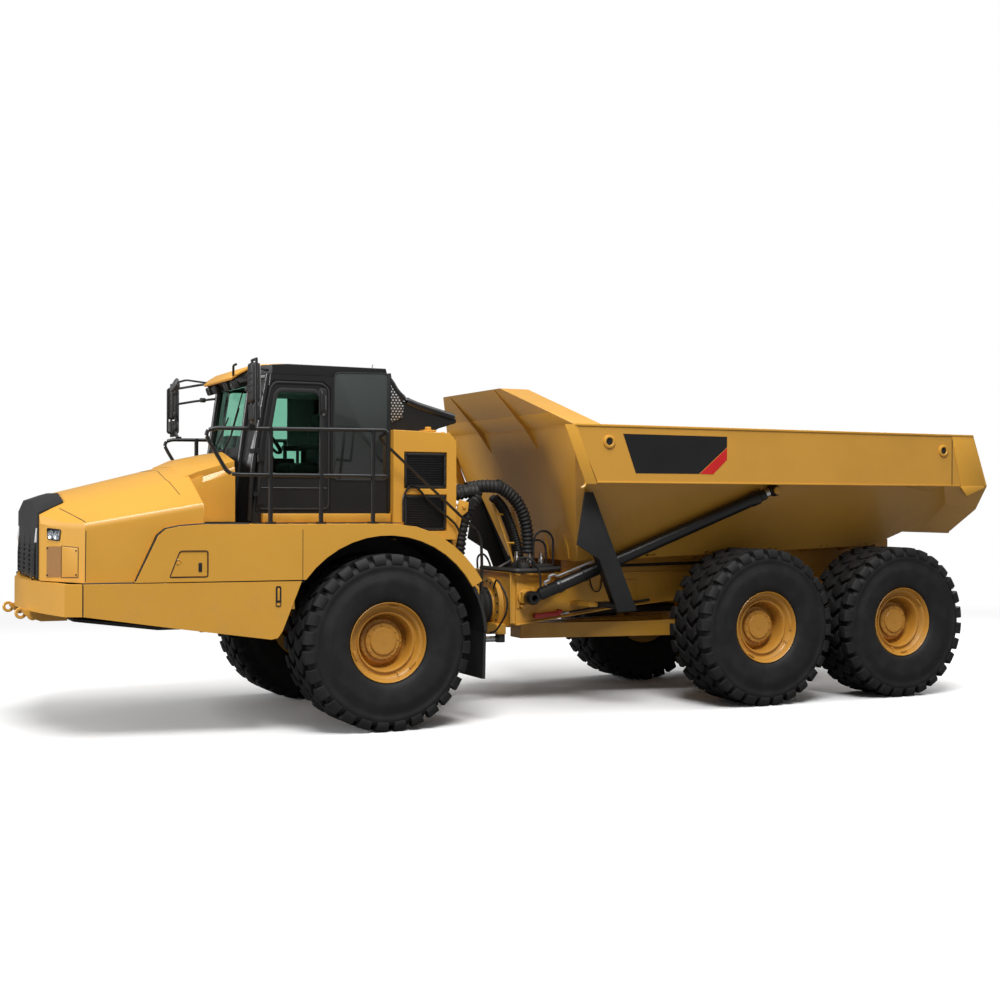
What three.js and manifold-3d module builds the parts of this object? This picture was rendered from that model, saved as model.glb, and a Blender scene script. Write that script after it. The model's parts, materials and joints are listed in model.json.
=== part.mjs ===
// Articulated dump truck: a two-axle-bogie hauler, hinged between tractor and rear frame.
// Millimetres, +X forward, +Y to the left, +Z up. The origin is on the ground at the middle of the
// overall box, so the three axles stand at named places along X.
import * as THREE from 'three';
import { mergeVertices } from 'three/addons/utils/BufferGeometryUtils.js';
import Module from 'manifold-3d';

const wasm = await Module();
wasm.setup();

// ---------------------------------------------------------------- driving dimensions
const touch = 0.3;                // gap between faces that rest on each other
const running = 0.5;              // radial gap of a rod in its tube and a pin in its eye
const swing = 3;                  // the same where a pin turns far in its eye, since both are drawn with flats

const frontAxleX = 2200;
const middleAxleX = -2390;
const rearAxleX = -4356;
const halfTrack = 1343.5;
const tyreRadius = 890;
const tyreHalfWidth = 370;
const rimRadius = 317;            // bead seat
const flangeRadius = 408;
const rimHalfWidth = 317;
const wheelSides = 32;
const hubInner = 80;              // hub's inboard face, from the wheel's middle

const hitchX = 700;               // steering pin
const hitchZ = 1100;              // roll axis of the rear frame
const dumpHinge = { x: -4900, z: 1400 };
const frameHalf = { inner: 380, outer: 520 };   // rear frame's two beams
const rearFrameTop = 1490;

const bodyHalf = 1700;            // outer face of the rails
const railInner = 1430;
const railTop = 3130;
const railBottom = 2520;
const canopyTop = 3557;
const canopyHalf = 790;
const bodyTailX = -5630;

const cabHalf = 890;
const cabRearX = 1900;
const cabWall = 50;
const cabFloorZ = 2085;
const cabRoofZ = 3600;

const towerHalf = 1000;
const fenderHalf = 1640;
const fenderWall = 40;
const fenderTop = 2080;
const archRadius = 1075;
const archOuter = 1200;
const skirtTop = 1525;
const panelHalf = 1500;           // hood's sides
const flare = 0.065;              // how fast the side panels widen towards the wheel

const hoist = { low: [130, 720, 1230], top: [-2600, 1480, 2446], barrel: 78, stage: 62, rod: 48 };
const hoodHinge = { x: 5480, z: 1550 };
const steerEyeTop = 802;          // underside of the hitch's ears, above the steering cylinders
const steer = { front: [1500, 330, 745], rear: [320, 300, 745], barrel: 50, rod: 34 };

// ---------------------------------------------------------------- materials
const paint = (hex, roughness = 0.45, metalness = 0.1) =>
  new THREE.MeshStandardMaterial({ color: hex, roughness, metalness });
const yellow = paint(0xd9a23f);
const black = paint(0x232323, 0.55, 0.1);
const rubber = paint(0x262627, 0.85, 0);
const plastic = paint(0x1d1d1f, 0.6, 0);
const steel = paint(0x9a9c9e, 0.35, 0.8);
const darkIron = paint(0x4a4a48, 0.6, 0.5);
const cloth = paint(0x2c2e33, 0.9, 0);
const glass = new THREE.MeshStandardMaterial({
  color: 0x9fb8ae, roughness: 0.05, metalness: 0, transparent: true, opacity: 0.35,
});

// ---------------------------------------------------------------- solids
function toSolid(geometry) {
  const bare = geometry.index ? geometry.toNonIndexed() : geometry.clone();
  bare.deleteAttribute('normal');
  bare.deleteAttribute('uv');
  const merged = mergeVertices(bare, 1e-3);
  return new wasm.Manifold(new wasm.Mesh({
    numProp: 3,
    vertProperties: new Float32Array(merged.attributes.position.array),
    triVerts: new Uint32Array(merged.index.array),
  }));
}

function toGeometry(solid) {
  const mesh = solid.getMesh();
  const geometry = new THREE.BufferGeometry();
  const positions = new Float32Array(mesh.numVert * 3);
  for (let i = 0; i < mesh.numVert; i += 1) {
    for (let k = 0; k < 3; k += 1) positions[3 * i + k] = mesh.vertProperties[mesh.numProp * i + k];
  }
  geometry.setAttribute('position', new THREE.BufferAttribute(positions, 3));
  geometry.setIndex(new THREE.BufferAttribute(new Uint32Array(mesh.triVerts), 1));
  geometry.computeVertexNormals();
  return geometry;
}

const add = (...solids) => solids.reduce((sum, solid) => sum.add(solid));
const cut = (solid, ...tools) => tools.reduce((rest, tool) => rest.subtract(tool), solid);

// A box between two corners.
function box(x0, x1, y0, y1, z0, z1) {
  const geometry = new THREE.BoxGeometry(Math.abs(x1 - x0), Math.abs(y1 - y0), Math.abs(z1 - z0));
  return toSolid(geometry.translate((x0 + x1) / 2, (y0 + y1) / 2, (z0 + z1) / 2));
}

// An outline [[a, b], ...] pushed along one axis from 'from' to 'to'.
function prism(axis, outline, from, to) {
  const shape = new THREE.Shape(outline.map(([a, b]) => new THREE.Vector2(a, b)));
  const geometry = new THREE.ExtrudeGeometry(shape, { depth: Math.abs(to - from), bevelEnabled: false });
  const low = Math.min(from, to);
  if (axis === 'y') geometry.rotateX(Math.PI / 2).translate(0, low + Math.abs(to - from), 0);
  if (axis === 'x') {
    const turn = new THREE.Matrix4().set(0, 0, 1, low, 1, 0, 0, 0, 0, 1, 0, 0, 0, 0, 0, 1);
    geometry.applyMatrix4(turn);
  }
  if (axis === 'z') geometry.translate(0, 0, low);
  return toSolid(geometry);
}

// Slides a solid's points sideways: y grows with the distance behind x0.
function widen(solid, x0, rate) {
  const geometry = toGeometry(solid);
  const positions = geometry.attributes.position;
  for (let i = 0; i < positions.count; i += 1) {
    positions.setY(i, positions.getY(i) + rate * (x0 - positions.getX(i)));
  }
  return toSolid(geometry);
}

// A skin through rings of equal count, capped at both ends; rings run anticlockwise seen from the last.
function loft(rings) {
  const count = rings[0].length;
  const points = rings.flat();
  const faces = [];
  for (let r = 0; r < rings.length - 1; r += 1) {
    for (let i = 0; i < count; i += 1) {
      const a = r * count + i;
      const b = r * count + ((i + 1) % count);
      faces.push(a, b, b + count, a, b + count, a + count);
    }
  }
  const last = (rings.length - 1) * count;
  for (let i = 1; i < count - 1; i += 1) {
    faces.push(0, i + 1, i);
    faces.push(last, last + i, last + i + 1);
  }
  const geometry = new THREE.BufferGeometry();
  geometry.setAttribute('position', new THREE.BufferAttribute(new Float32Array(points.flat()), 3));
  geometry.setIndex(faces);
  const solid = toSolid(geometry);
  if (solid.volume() > 0) return solid;
  for (let i = 0; i < faces.length; i += 3) [faces[i], faces[i + 1]] = [faces[i + 1], faces[i]];
  geometry.setIndex(faces);
  return toSolid(geometry);
}

// Half a ring [[x, y, z], ...] from the bottom outside to the crown, mirrored to a whole one.
const mirrored = (half) => [...half, ...half.map(([x, y, z]) => [x, -y, z]).reverse()];

const vec = (p) => new THREE.Vector3(...p);

// A round bar between two points.
function bar(from, to, radius, sides = 12) {
  const a = vec(from);
  const b = vec(to);
  const geometry = new THREE.CylinderGeometry(radius, radius, a.distanceTo(b), sides);
  const turn = new THREE.Quaternion().setFromUnitVectors(
    new THREE.Vector3(0, 1, 0), b.clone().sub(a).normalize());
  geometry.applyQuaternion(turn);
  const middle = a.add(b).multiplyScalar(0.5);
  return toSolid(geometry.translate(middle.x, middle.y, middle.z));
}

const ball = (centre, radius, sides = 12) =>
  toSolid(new THREE.SphereGeometry(radius, sides, Math.round(sides * 0.6)).translate(...centre));

// A round bar along a bent line, mitred at every bend.
function sweep(points, radius, sides = 6) {
  const line = points.map(vec);
  const first = line[1].clone().sub(line[0]).normalize();
  const up = Math.abs(first.z) > 0.9 ? new THREE.Vector3(1, 0, 0) : new THREE.Vector3(0, 0, 1);
  const across = up.clone().cross(first).normalize();
  const over = first.clone().cross(across);
  let ring = Array.from({ length: sides }, (_, i) => {
    const angle = (2 * Math.PI * (i + 0.5)) / sides;
    return line[0].clone().addScaledVector(across, radius * Math.cos(angle))
      .addScaledVector(over, radius * Math.sin(angle));
  });
  const rings = [ring];
  for (let i = 1; i < line.length; i += 1) {
    const along = line[i].clone().sub(line[i - 1]).normalize();
    const next = i < line.length - 1 ? line[i + 1].clone().sub(line[i]).normalize() : along;
    const plane = along.clone().add(next).normalize();
    ring = ring.map((p) => {
      const step = line[i].clone().sub(p).dot(plane) / along.dot(plane);
      return p.clone().addScaledVector(along, step);
    });
    rings.push(ring);
  }
  return loft(rings.map((r) => r.map((p) => [p.x, p.y, p.z])));
}

// Points on a circle in an upright plane, from one angle to another (degrees, from +X).
function arc(cx, cz, radius, from, to, steps) {
  return Array.from({ length: steps + 1 }, (_, i) => {
    const angle = THREE.MathUtils.degToRad(from + ((to - from) * i) / steps);
    return [cx + radius * Math.cos(angle), cz + radius * Math.sin(angle)];
  });
}

const group = new THREE.Group();

function place(name, solid, material, parent = group) {
  const mesh = new THREE.Mesh(solid instanceof THREE.BufferGeometry ? solid : toGeometry(solid), material);
  mesh.name = name;
  parent.add(mesh);
  return mesh;
}

const flipped = (solid) => solid.mirror([0, 1, 0]);

// Places a left piece and its mirror image.
function placePair(name, solid, material) {
  place(`${name}_left`, solid, material);
  place(`${name}_right`, flipped(solid), material);
}

// ---------------------------------------------------------------- wheels
function tyreGeometry() {
  const bore = rimRadius + touch;
  const edge = rimHalfWidth - 17 - touch;
  const side = [[bore, edge], [flangeRadius + 2, edge], [600, tyreHalfWidth], [800, 352], [tyreRadius, 290]];
  const profile = [...side.map(([r, y]) => [r, -y]), ...side.reverse()];
  return turned([...profile, profile[0]]);
}

function rimGeometry() {
  return turned([
    [0, -hubInner], [220, -hubInner], [220, 60], [297, 60], [297, -rimHalfWidth],
    [flangeRadius, -rimHalfWidth], [flangeRadius, -rimHalfWidth + 17], [rimRadius, -rimHalfWidth + 17],
    [rimRadius, rimHalfWidth - 17], [flangeRadius, rimHalfWidth - 17], [flangeRadius, rimHalfWidth],
    [297, rimHalfWidth], [297, 100], [235, 100], [235, 175], [0, 175],
  ]);
}

// A body turned about the Y axis with a flat of its outline at the bottom; radii are to the flats.
function turned(profile) {
  const scale = 1 / Math.cos(Math.PI / wheelSides);
  const points = profile.map(([r, y]) => new THREE.Vector2(r * scale, y));
  return new THREE.LatheGeometry(points, wheelSides).rotateY(Math.PI / wheelSides);
}

function addWheels() {
  const axles = { front: frontAxleX, middle: middleAxleX, rear: rearAxleX };
  for (const [axle, x] of Object.entries(axles)) {
    for (const side of ['left', 'right']) {
      const wheel = new THREE.Group();
      const sign = side === 'left' ? 1 : -1;
      wheel.position.set(x, sign * halfTrack, tyreRadius);
      const tyre = toSolid(tyreGeometry());
      const rim = toSolid(rimGeometry());
      place(`tyre_${axle}_${side}`, sign > 0 ? tyre : flipped(tyre), rubber, wheel);
      place(`rim_${axle}_${side}`, sign > 0 ? rim : flipped(rim), yellow, wheel);
      group.add(wheel);
    }
  }
}

// ---------------------------------------------------------------- tractor frame
const axleEnd = halfTrack - hubInner - touch;

function axleHousing(x) {
  return add(
    bar([x, -axleEnd, tyreRadius], [x, axleEnd, tyreRadius], 130, 16),
    ball([x, 0, tyreRadius], 265, 16),
  );
}

function addTractorFrame() {
  const lug = (z0, z1) => add(
    prism('z', [[hitchX, -130], [1000, -260], [1000, 260], [hitchX, 130]], z0, z1),
    bar([hitchX, 0, z0], [hitchX, 0, z1], 150, 20),
  );
  const rails = [-1, 1].map((s) => box(950, 5050, s * 330, s * 450, 1160, 1400));
  const frame = add(
    ...rails,
    box(4950, 5150, -900, 900, 1240, 1500),
    box(950, 1100, -450, 450, 800, 1420),
    box(1650, 1750, -450, 450, 1160, 1400),
    box(3000, 3100, -450, 450, 1160, 1400),
    box(4000, 4100, -1380, 1380, 1240, 1330),
    box(3150, 3250, -1380, 1380, 1240, 1330),
    lug(1330, 1410), lug(800, 880),
    bar([hitchX, 0, 810], [hitchX, 0, 1400], 60 - swing, 16),
    ...[-1, 1].map((s) => box(1960, 2440, s * 330, s * 450, 1020 + touch, 1200)),
    ...[-1, 1].map((s) => box(1440, 1660, s * 255, s * 405, 800, 1170)),
    ...[-1, 1].map((s) => box(1040, 1120, s * 330, s * 1250, 1250, 1400)),
    box(1440, 1660, -255, 255, 850, 1000),
    prism('y', [[5120, 1150], [5120, 1120], [4300, 1010], [3300, 1010], [3300, 1040], [4290, 1040]], -700, 700),
    ...[4050, 3400].flatMap((x) => [-1, 1].map((s) => box(x - 40, x + 40, s * 360, s * 420, 1030, 1160))),
    ...[2050, 2620].flatMap((x) => [-1, 1].map((s) => box(x - 40, x + 40, s * 350, s * 440, 1390, cabFloorZ - touch))),
  );
  place('front_frame', cut(frame, ...[-1, 1].map((s) => box(1430, 1560, s * 250, s * 410, 690, 830))), darkIron);
  place('front_axle', axleHousing(frontAxleX), yellow);
  place('engine_block', box(2700, 4900, -440, 440, 1400 + touch, 1950), darkIron);
}

function addBumper() {
  const plan = [[5170, 1500], [5320, 1440], [5425, 1000], [5545, 300]];
  const inside = [[5170, 1400], [5270, 1370], [5340, 950], [5445, 250]];
  const outer = [...plan, ...plan.map(([x, y]) => [x, -y]).reverse()];
  const inner = [...inside, ...inside.map(([x, y]) => [x, -y]).reverse()];
  const shell = prism('z', [...outer, ...inner.reverse()], 1225, 1525);
  const eyes = [-1, 1].map((s) => prism('y', [
    [5150 + touch, 1210], [5150 + touch, 1120], [5400, 1120], [5530, 1170], [5570, 1210],
    [5570, 1240], [5150 + touch, 1240],
  ], s * 430, s * 530));
  const web = box(5150 + touch, 5500, -540, 540, 1240, 1300);
  // The hood tilts on a pin at each side, held by an ear that stands on the bumper.
  const { x, z } = hoodHinge;
  const pins = [-1, 1].map((s) => add(
    box(x - 12, x + 12, s * 470, s * 500, 1515, z + 12),
    bar([x, s * 470, z], [x, s * 565, z], 8, 12),
  ));
  place('bumper', add(shell, ...eyes, web, ...pins), yellow);
}

function addSkirts() {
  const outline = [
    [5160, skirtTop], [5160, 1225], [4845, 1178], [4309, 1093], [3686, 1003], [3400, 962],
    [3335, 975], [3290, 1040], [3100, skirtTop],
  ];
  const plate = widen(prism('y', outline, panelHalf - 40, panelHalf), 5160, flare);
  const clips = [4050, 3200].map((x) => {
    const face = panelHalf - 40 + flare * (5160 - x - 40);
    return box(x - 40, x + 40, 1380 + touch, face + 6, 1250, 1320);
  });
  placePair('side_skirt', add(plate, ...clips), yellow);
}

// The outline of a front fender seen from the side: panel, deck and the band over the wheel.
function fenderOutline(inset, rearX) {
  const top = fenderTop - inset;
  return [
    [4690 - inset * 1.1, skirtTop + 8 + inset], [4480 - inset, 1976 - inset * 0.65],
    [4410 - inset * 0.6, 2036 - inset * 0.85], [4285 - inset * 0.15, top - 18], [4050, top], [rearX, top],
  ];
}

function addFenders() {
  const outerBand = arc(frontAxleX, tyreRadius, archOuter, 97, 150, 7).slice(1);
  const innerBand = arc(frontAxleX, tyreRadius, archRadius, 150, 37, 14);
  const skin = [...fenderOutline(0, 2150), ...outerBand, ...innerBand];
  const room = [
    ...fenderOutline(fenderWall, 2480),
    ...arc(frontAxleX, tyreRadius, archRadius + 80, 76, 36, 6),
  ];
  const side = cut(prism('y', skin, 960, fenderHalf), cut(prism('y', room, 900, fenderHalf), beyondSlope(fenderWall)));
  const step = box(2150, 3555, 900, 980, 2040, fenderTop);
  const brace = [2900, 3600].map((x) => box(x, x + 60, 960, fenderHalf - 60, fenderTop - 130, fenderTop - 20));
  const towerRoom = box(1170, cabRearX + touch, 900, towerHalf + touch, 1890, 2200);
  const body = cut(add(side, step, ...brace), beyondSlope(0), towerRoom);
  const foot = prism('y', [[1060, 1250], [1140, 1250], [1140, 1440], [1225, 1500], [1200, 1540], [1060, 1400]],
    1250 + touch, 1340);
  const left = add(body, foot);
  const door = servicePanel(0);
  place('fender_left', cut(left, widenDoor(servicePanel(4))), yellow);
  place('fender_right', flipped(left), yellow);
  place('service_door', widenDoor(door), yellow);
}

// The fender's side face runs in towards the hood's narrower front from here.
const slopeX = 3100;
const slopeRate = (fenderHalf - panelHalf - 30) / 1600;

// Everything outside the side face, or outside a face set in from it.
function beyondSlope(inset) {
  const y = fenderHalf - inset;
  return prism('z', [[4800, y - slopeRate * (4800 - slopeX)], [4800, 1800], [1000, 1800], [1000, y], [slopeX, y]],
    1000, 2300);
}

// The small door of the filler. It hinges on its top edge, so that edge has the smallest gap.
function servicePanel(margin) {
  const depth = margin * 30;
  const top = 1825 + Math.min(margin, running);
  return prism('y', [
    [4020 - margin, 1585 - margin], [4370 + margin, 1585 - margin], [4270 + margin, top], [4020 - margin, top],
  ], fenderHalf - 32 - depth, fenderHalf - 8 + depth);
}

// Turns the small door to lie in the panel's slanting face.
const widenDoor = (solid) => widen(solid, slopeX, slopeRate);

function addMudflaps() {
  const start = 150 + THREE.MathUtils.radToDeg(touch / archRadius);
  const lean = arc(frontAxleX, tyreRadius, archRadius, start, 176, 4);
  const backs = arc(frontAxleX, tyreRadius, archRadius + 35, 176, start, 4);
  const liner = prism('y', [...lean, ...backs], 1000, fenderHalf - 20);
  const [lowX, lowZ] = lean[lean.length - 1];
  const flap = prism('y', [[lowX - 3, lowZ + 20], [lowX - 30, lowZ + 20], [lowX - 20, 470], [lowX + 15, 470]], 1000, 1600);
  placePair('mudflap', add(liner, flap), rubber);
}

// ---------------------------------------------------------------- cab
function cabRing(z, inset, lean) {
  const y = cabHalf - inset;
  return mirrored([
    [cabRearX + inset, y, z], [3400 - lean * 0.9 - inset * 0.5, y, z], [3550 - lean - inset, 640 - inset * 0.4, z],
  ]).reverse();
}

const doorOutline = [
  [2560, 2200], [3360, 2200], [3330, 2900], [3225, 3480], [3170, 3545], [2640, 3545], [2560, 3480],
];
const doorGlassOutline = [[2650, 2560], [3270, 2560], [3245, 2900], [3160, 3400], [3110, 3450], [2720, 3450], [2650, 3390]];
const quarterOutline = [[1960, 2520], [2490, 2520], [2490, 3540], [1960, 3540]];
const rightOutline = [[1960, 2520], [3270, 2520], [3240, 2950], [3170, 3540], [1960, 3540]];

// An outline drawn in by a margin towards its middle.
function shrink(outline, margin) {
  const cx = outline.reduce((sum, p) => sum + p[0], 0) / outline.length;
  const cz = outline.reduce((sum, p) => sum + p[1], 0) / outline.length;
  return outline.map(([x, z]) => [x - margin * Math.sign(x - cx), z - margin * Math.sign(z - cz)]);
}

const screenHeights = { low: 2860, high: 3500 };

// The windscreen's plane leans back with the cab's nose.
function screenSlab(y, z0, z1, from, to) {
  const lean = (z) => 3550 - 220 * ((z - cabFloorZ) / (cabRoofZ - cabFloorZ));
  return prism('y', [[lean(z0) + from, z0], [lean(z0) + to, z0], [lean(z1) + to, z1], [lean(z1) + from, z1]], -y, y);
}

function addCab() {
  const outer = loft([cabRing(cabFloorZ, 0, 0), cabRing(cabRoofZ, 0, 220)]);
  const inner = loft([cabRing(cabFloorZ + 60, cabWall, 10), cabRing(cabRoofZ + 60, cabWall, 232)]);
  const y0 = cabHalf - cabWall - 20;
  const y1 = cabHalf + 20;
  const shell = cut(
    outer, inner,
    prism('y', doorOutline, y0, y1),
    prism('y', quarterOutline, y0, y1),
    prism('y', rightOutline, -y1, -y0),
    screenSlab(590, screenHeights.low, screenHeights.high, -90, 60),
    box(cabRearX - 20, cabRearX + cabWall + 20, -720, 720, 2750, 3540),
  );
  const hingeY = cabHalf + 14;
  const hingeHeights = [2260, 2700];
  const brackets = hingeHeights.map((z) => {
    const corner = 3400 - 198 * ((z - cabFloorZ) / (cabRoofZ - cabFloorZ));
    const skin = cabHalf - 1.67 * (3375 - corner);
    return add(
      bar([3330, hingeY, z + 90 + running], [3330, hingeY, z + 140], 13, 10),
      box(3330, 3385, cabHalf + 4, hingeY + 11, z + 92, z + 138),
      box(3364, 3385, skin - 30, hingeY + 11, z + 92, z + 138),
    );
  });
  place('cab_shell', add(shell, ...brackets), black);
  const visor = [
    [cabRearX + 10, cabRoofZ + touch], [3335, cabRoofZ + touch], [3340, 3545], [3440, 3520], [3510, 3570],
    [3340, 3690], [3020, 3715], [cabRearX + 40, 3710],
  ];
  place('cab_roof', cut(
    prism('y', visor, -cabHalf + 20, cabHalf - 20),
    prism('z', [[3560, 500], [3560, 900], [3150, 900], [3330, 700]], 3400, 3800),
    prism('z', [[3560, -500], [3560, -900], [3150, -900], [3330, -700]], 3400, 3800),
  ), black);
  place('windscreen', screenSlab(590 - touch, screenHeights.low + touch, screenHeights.high - touch, -36, -16), glass);
  const pane = (outline, sign) =>
    prism('y', shrink(outline, touch), sign * (cabHalf - 35), sign * (cabHalf - 15));
  place('quarter_glass', pane(quarterOutline, 1), glass);
  place('side_glass', pane(rightOutline, -1), glass);
  place('rear_glass', box(cabRearX + 15, cabRearX + 35, -720 + touch, 720 - touch, 2750 + touch, 3540 - touch), glass);
  const doorPlate = prism('y', shrink(doorOutline, 6), cabHalf - cabWall + 5, cabHalf - 1);
  const knuckles = hingeHeights.map((z) => bar([3330, hingeY, z], [3330, hingeY, z + 90], 13, 10));
  const strap = hingeHeights.map((z) => box(3270, 3330, cabHalf - 6, hingeY + 10, z + 10, z + 80));
  place('cab_door', add(cut(doorPlate, prism('y', doorGlassOutline, y0, y1)), ...knuckles, ...strap), black);
  place('door_glass', pane(doorGlassOutline, 1), glass);
  const cushion = box(2320, 2820, -260, 260, 2560, 2700);
  const back = prism('y', [[2320, 2700], [2460, 2700], [2380, 3330], [2260, 3330]], -250, 250);
  const pedestal = box(2420, 2720, -180, 180, cabFloorZ + 60 + touch, 2560);
  place('driver_seat', add(cushion, back, pedestal), cloth);
  const dash = prism('y', [[3200, cabFloorZ + 60 + touch], [3400, cabFloorZ + 60 + touch], [3400, 2500],
    [3380, 2790], [3180, 2760]], -560, 560);
  const column = bar([3230, 0, 2700], [3030, 0, 2868], 35, 10);
  const wheel = toSolid(new THREE.TorusGeometry(205, 16, 5, 16).rotateY(-0.876).translate(3040, 0, 2860));
  const spoke = bar([3040 - 128, 0, 2860 - 155], [3040 + 128, 0, 2860 + 155], 12, 6);
  const spokeAcross = bar([3040, -204, 2860], [3040, 204, 2860], 12, 6);
  place('driver_console', add(dash, column, wheel, spoke, spokeAcross), plastic);
}

// ---------------------------------------------------------------- hood
function hoodRing(x, wide, shoulder, creaseHalf, crease, crown, bottom) {
  return mirrored([
    [x, wide, bottom], [x, wide, shoulder - 60], [x, wide - 30, shoulder],
    [x, creaseHalf, crease], [x, creaseHalf * 0.45, crown],
  ]);
}

function hoodSkin(inset, bottom) {
  const s = (v) => v - inset;
  const nose = loft([
    hoodRing(4040 - inset * 3, s(panelHalf), s(2285), s(900), s(2545), s(2665), bottom),
    hoodRing(5140, s(1450), s(2090), s(840), s(2275), s(2385), bottom),
    hoodRing(5300, s(1130), s(2095), s(790), s(2215), s(2340), bottom),
    hoodRing(5445 - inset, s(830), s(2080), s(700), s(2165), s(2285), bottom),
  ]);
  const rear = loft([
    hoodRing(3570 - inset * 3, s(900), s(2650), s(860), s(2710), s(2812), 2095 - inset * 2),
    hoodRing(3950, s(905), s(2530), s(890), s(2595), s(2732), 2095 - inset * 2),
    hoodRing(4120, s(905), s(2460), s(880), s(2525), s(2655), 2095 - inset * 2),
  ]);
  return add(nose, rear);
}

function addHood() {
  const bottom = skirtTop + 10;
  const seam = [[4701, bottom - 40], ...fenderOutline(-10, 3300), [3300, bottom - 40]];
  const shell = cut(
    hoodSkin(0, bottom), hoodSkin(40, bottom - 60),
    prism('y', seam, -1700, 1700),
    prism('y', grilleOutline(running), -700 - running, 700 + running),
    box(5380, 5500, -700 - running, 700 + running, 1500, 2300),
  );
  place('hood', shell, yellow);
  const { x, z } = hoodHinge;
  const eyes = [-1, 1].map((s) => cut(
    add(bar([x, s * 505, z], [x, s * 560, z], 18, 12), box(x - 60, x, s * 505, s * 560, z - 10, z + 12)),
    bar([x, s * 500, z], [x, s * 570, z], 8 + running, 12),
  ));
  const wrap = prism('y', grilleOutline(0), -700, 700).intersect(hoodSkin(-15, 1500));
  place('grille', add(wrap, ...eyes), plastic);
}

function grilleOutline(margin) {
  return [
    [5460 + margin, 1545 - margin], [5460 + margin, 2420], [5220 - margin, 2420],
    [5220 - margin, 2120 - margin], [5390 - margin, 2120 - margin], [5390 - margin, 1545 - margin],
  ];
}

// ---------------------------------------------------------------- deck fittings
function addHandrails() {
  const y = 1500;
  const top = 3025;
  const low = 2560;
  const r = 21;
  const posts = [3380, 2864, 2316].map((x) => bar([x, y, fenderTop + touch], [x, y, top], r, 6));
  const loop = (front) => sweep([[2160, y, low], [2160, y, top], [front - 70, y, top - 20], [front, y, top - 60],
    [front - 240, y, low + 30], [front - 290, y, low], [2160, y, low]], r);
  const steep = sweep([[2160, y - r, top - 10], [2130, 1160, top - 60], [1250, 1130, 2400], [1110, 1130, 2230],
    [1110, 1130, 1700], [1210, 1180, 1592]], r);
  const left = add(...posts, loop(4030), steep);
  place('handrail_left', left, black);
  const rightSteep = sweep([[2160, y - r, top - 10], [2130, 1160, top - 60], [2130, 1160, fenderTop + touch]], r);
  place('handrail_right', flipped(add(...posts, loop(3760), rightSteep)), black);
}

function addMirrors() {
  const frame = sweep([[3600, 1600, 3060], [3600, 1600, 3660], [3610, 1790, 3660], [3610, 1790, 3060],
    [3600, 1600, 3060]], 14);
  const head = box(3570, 3640, 1625, 1770, 3260, 3620);
  const small = box(3570, 3640, 1625, 1770, 3090, 3230);
  const link = [3140, 3300, 3560].map((z) => bar([3600, 1600, z], [3600, 1640, z], 12, 6));
  const arms = [
    sweep([[3600, 1600, 3600], [3420, 1200, 3625], [3230, cabHalf - 20 + touch, 3640]], 14),
    sweep([[3600, 1600, 3100], [3580, 1545, 3030]], 14),
    box(3550, 3610, 1518.2 + touch, 1560, 2990, 3045),
  ];
  placePair('mirror', add(frame, head, small, ...link, ...arms), black);
}

function addCoolingTower() {
  const body = prism('y', [[1180, 1900], [1180, 2950], [1260, 3040], [cabRearX - touch, 3060], [cabRearX - touch, 1900]],
    -towerHalf, towerHalf);
  const inside = box(1230, 1850, -900, 900, 1890, 2990);
  const recess = (z0, z1) => [-1, 1].map((s) => box(1290, 1780, s * (towerHalf - 40), s * (towerHalf + 10), z0, z1));
  const legs = [-1, 1].map((s) => box(1300, 1800, s * 360, s * 440, 1400 + touch, 1910));
  const shelf = box(1200, 1880, -460, 460, 1900, 1940);
  place('cooling_tower', add(cut(body, inside, ...recess(2440, 2830), ...recess(1990, 2380)), ...legs, shelf), yellow);
  const profile = [
    [1899, 3080], [1899, 3640], [1860, 3715], [1790, 3690], [1690, 3560], [1600, 3400], [970, 3225],
    [970, 3175], [1180, 3110], [1260, 3060 + touch], [1890, 3060 + touch],
  ];
  const room = [
    [1850, 3000], [1850, 3600], [1800, 3640], [1720, 3540], [1630, 3370], [1200, 3200], [1290, 3120], [1300, 3000],
  ];
  place('exhaust_shroud', cut(prism('y', profile, -720, 520), prism('y', room, -690, 490)), black);
}

// ---------------------------------------------------------------- hitch and rear frame
function addHitch() {
  const knuckle = cut(
    bar([hitchX, 0, 880 + touch], [hitchX, 0, 1330 - touch], 150, 20),
    bar([hitchX, 0, 800], [hitchX, 0, 1400], 60, 16),
  );
  const trunnion = bar([hitchX - 110, 0, hitchZ], [281 + touch, 0, hitchZ], 200, 20);
  const ring = bar([285, 0, hitchZ], [345, 0, hitchZ], 330, 24);
  const arm = box(285, 400, -340, 340, steerEyeTop, 920);
  const ears = [-1, 1].map((s) => box(285, 400, s * 230, s * 380, steerEyeTop, 910));
  place('hitch', add(knuckle, trunnion, ring, arm, ...ears), yellow);
}

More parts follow.
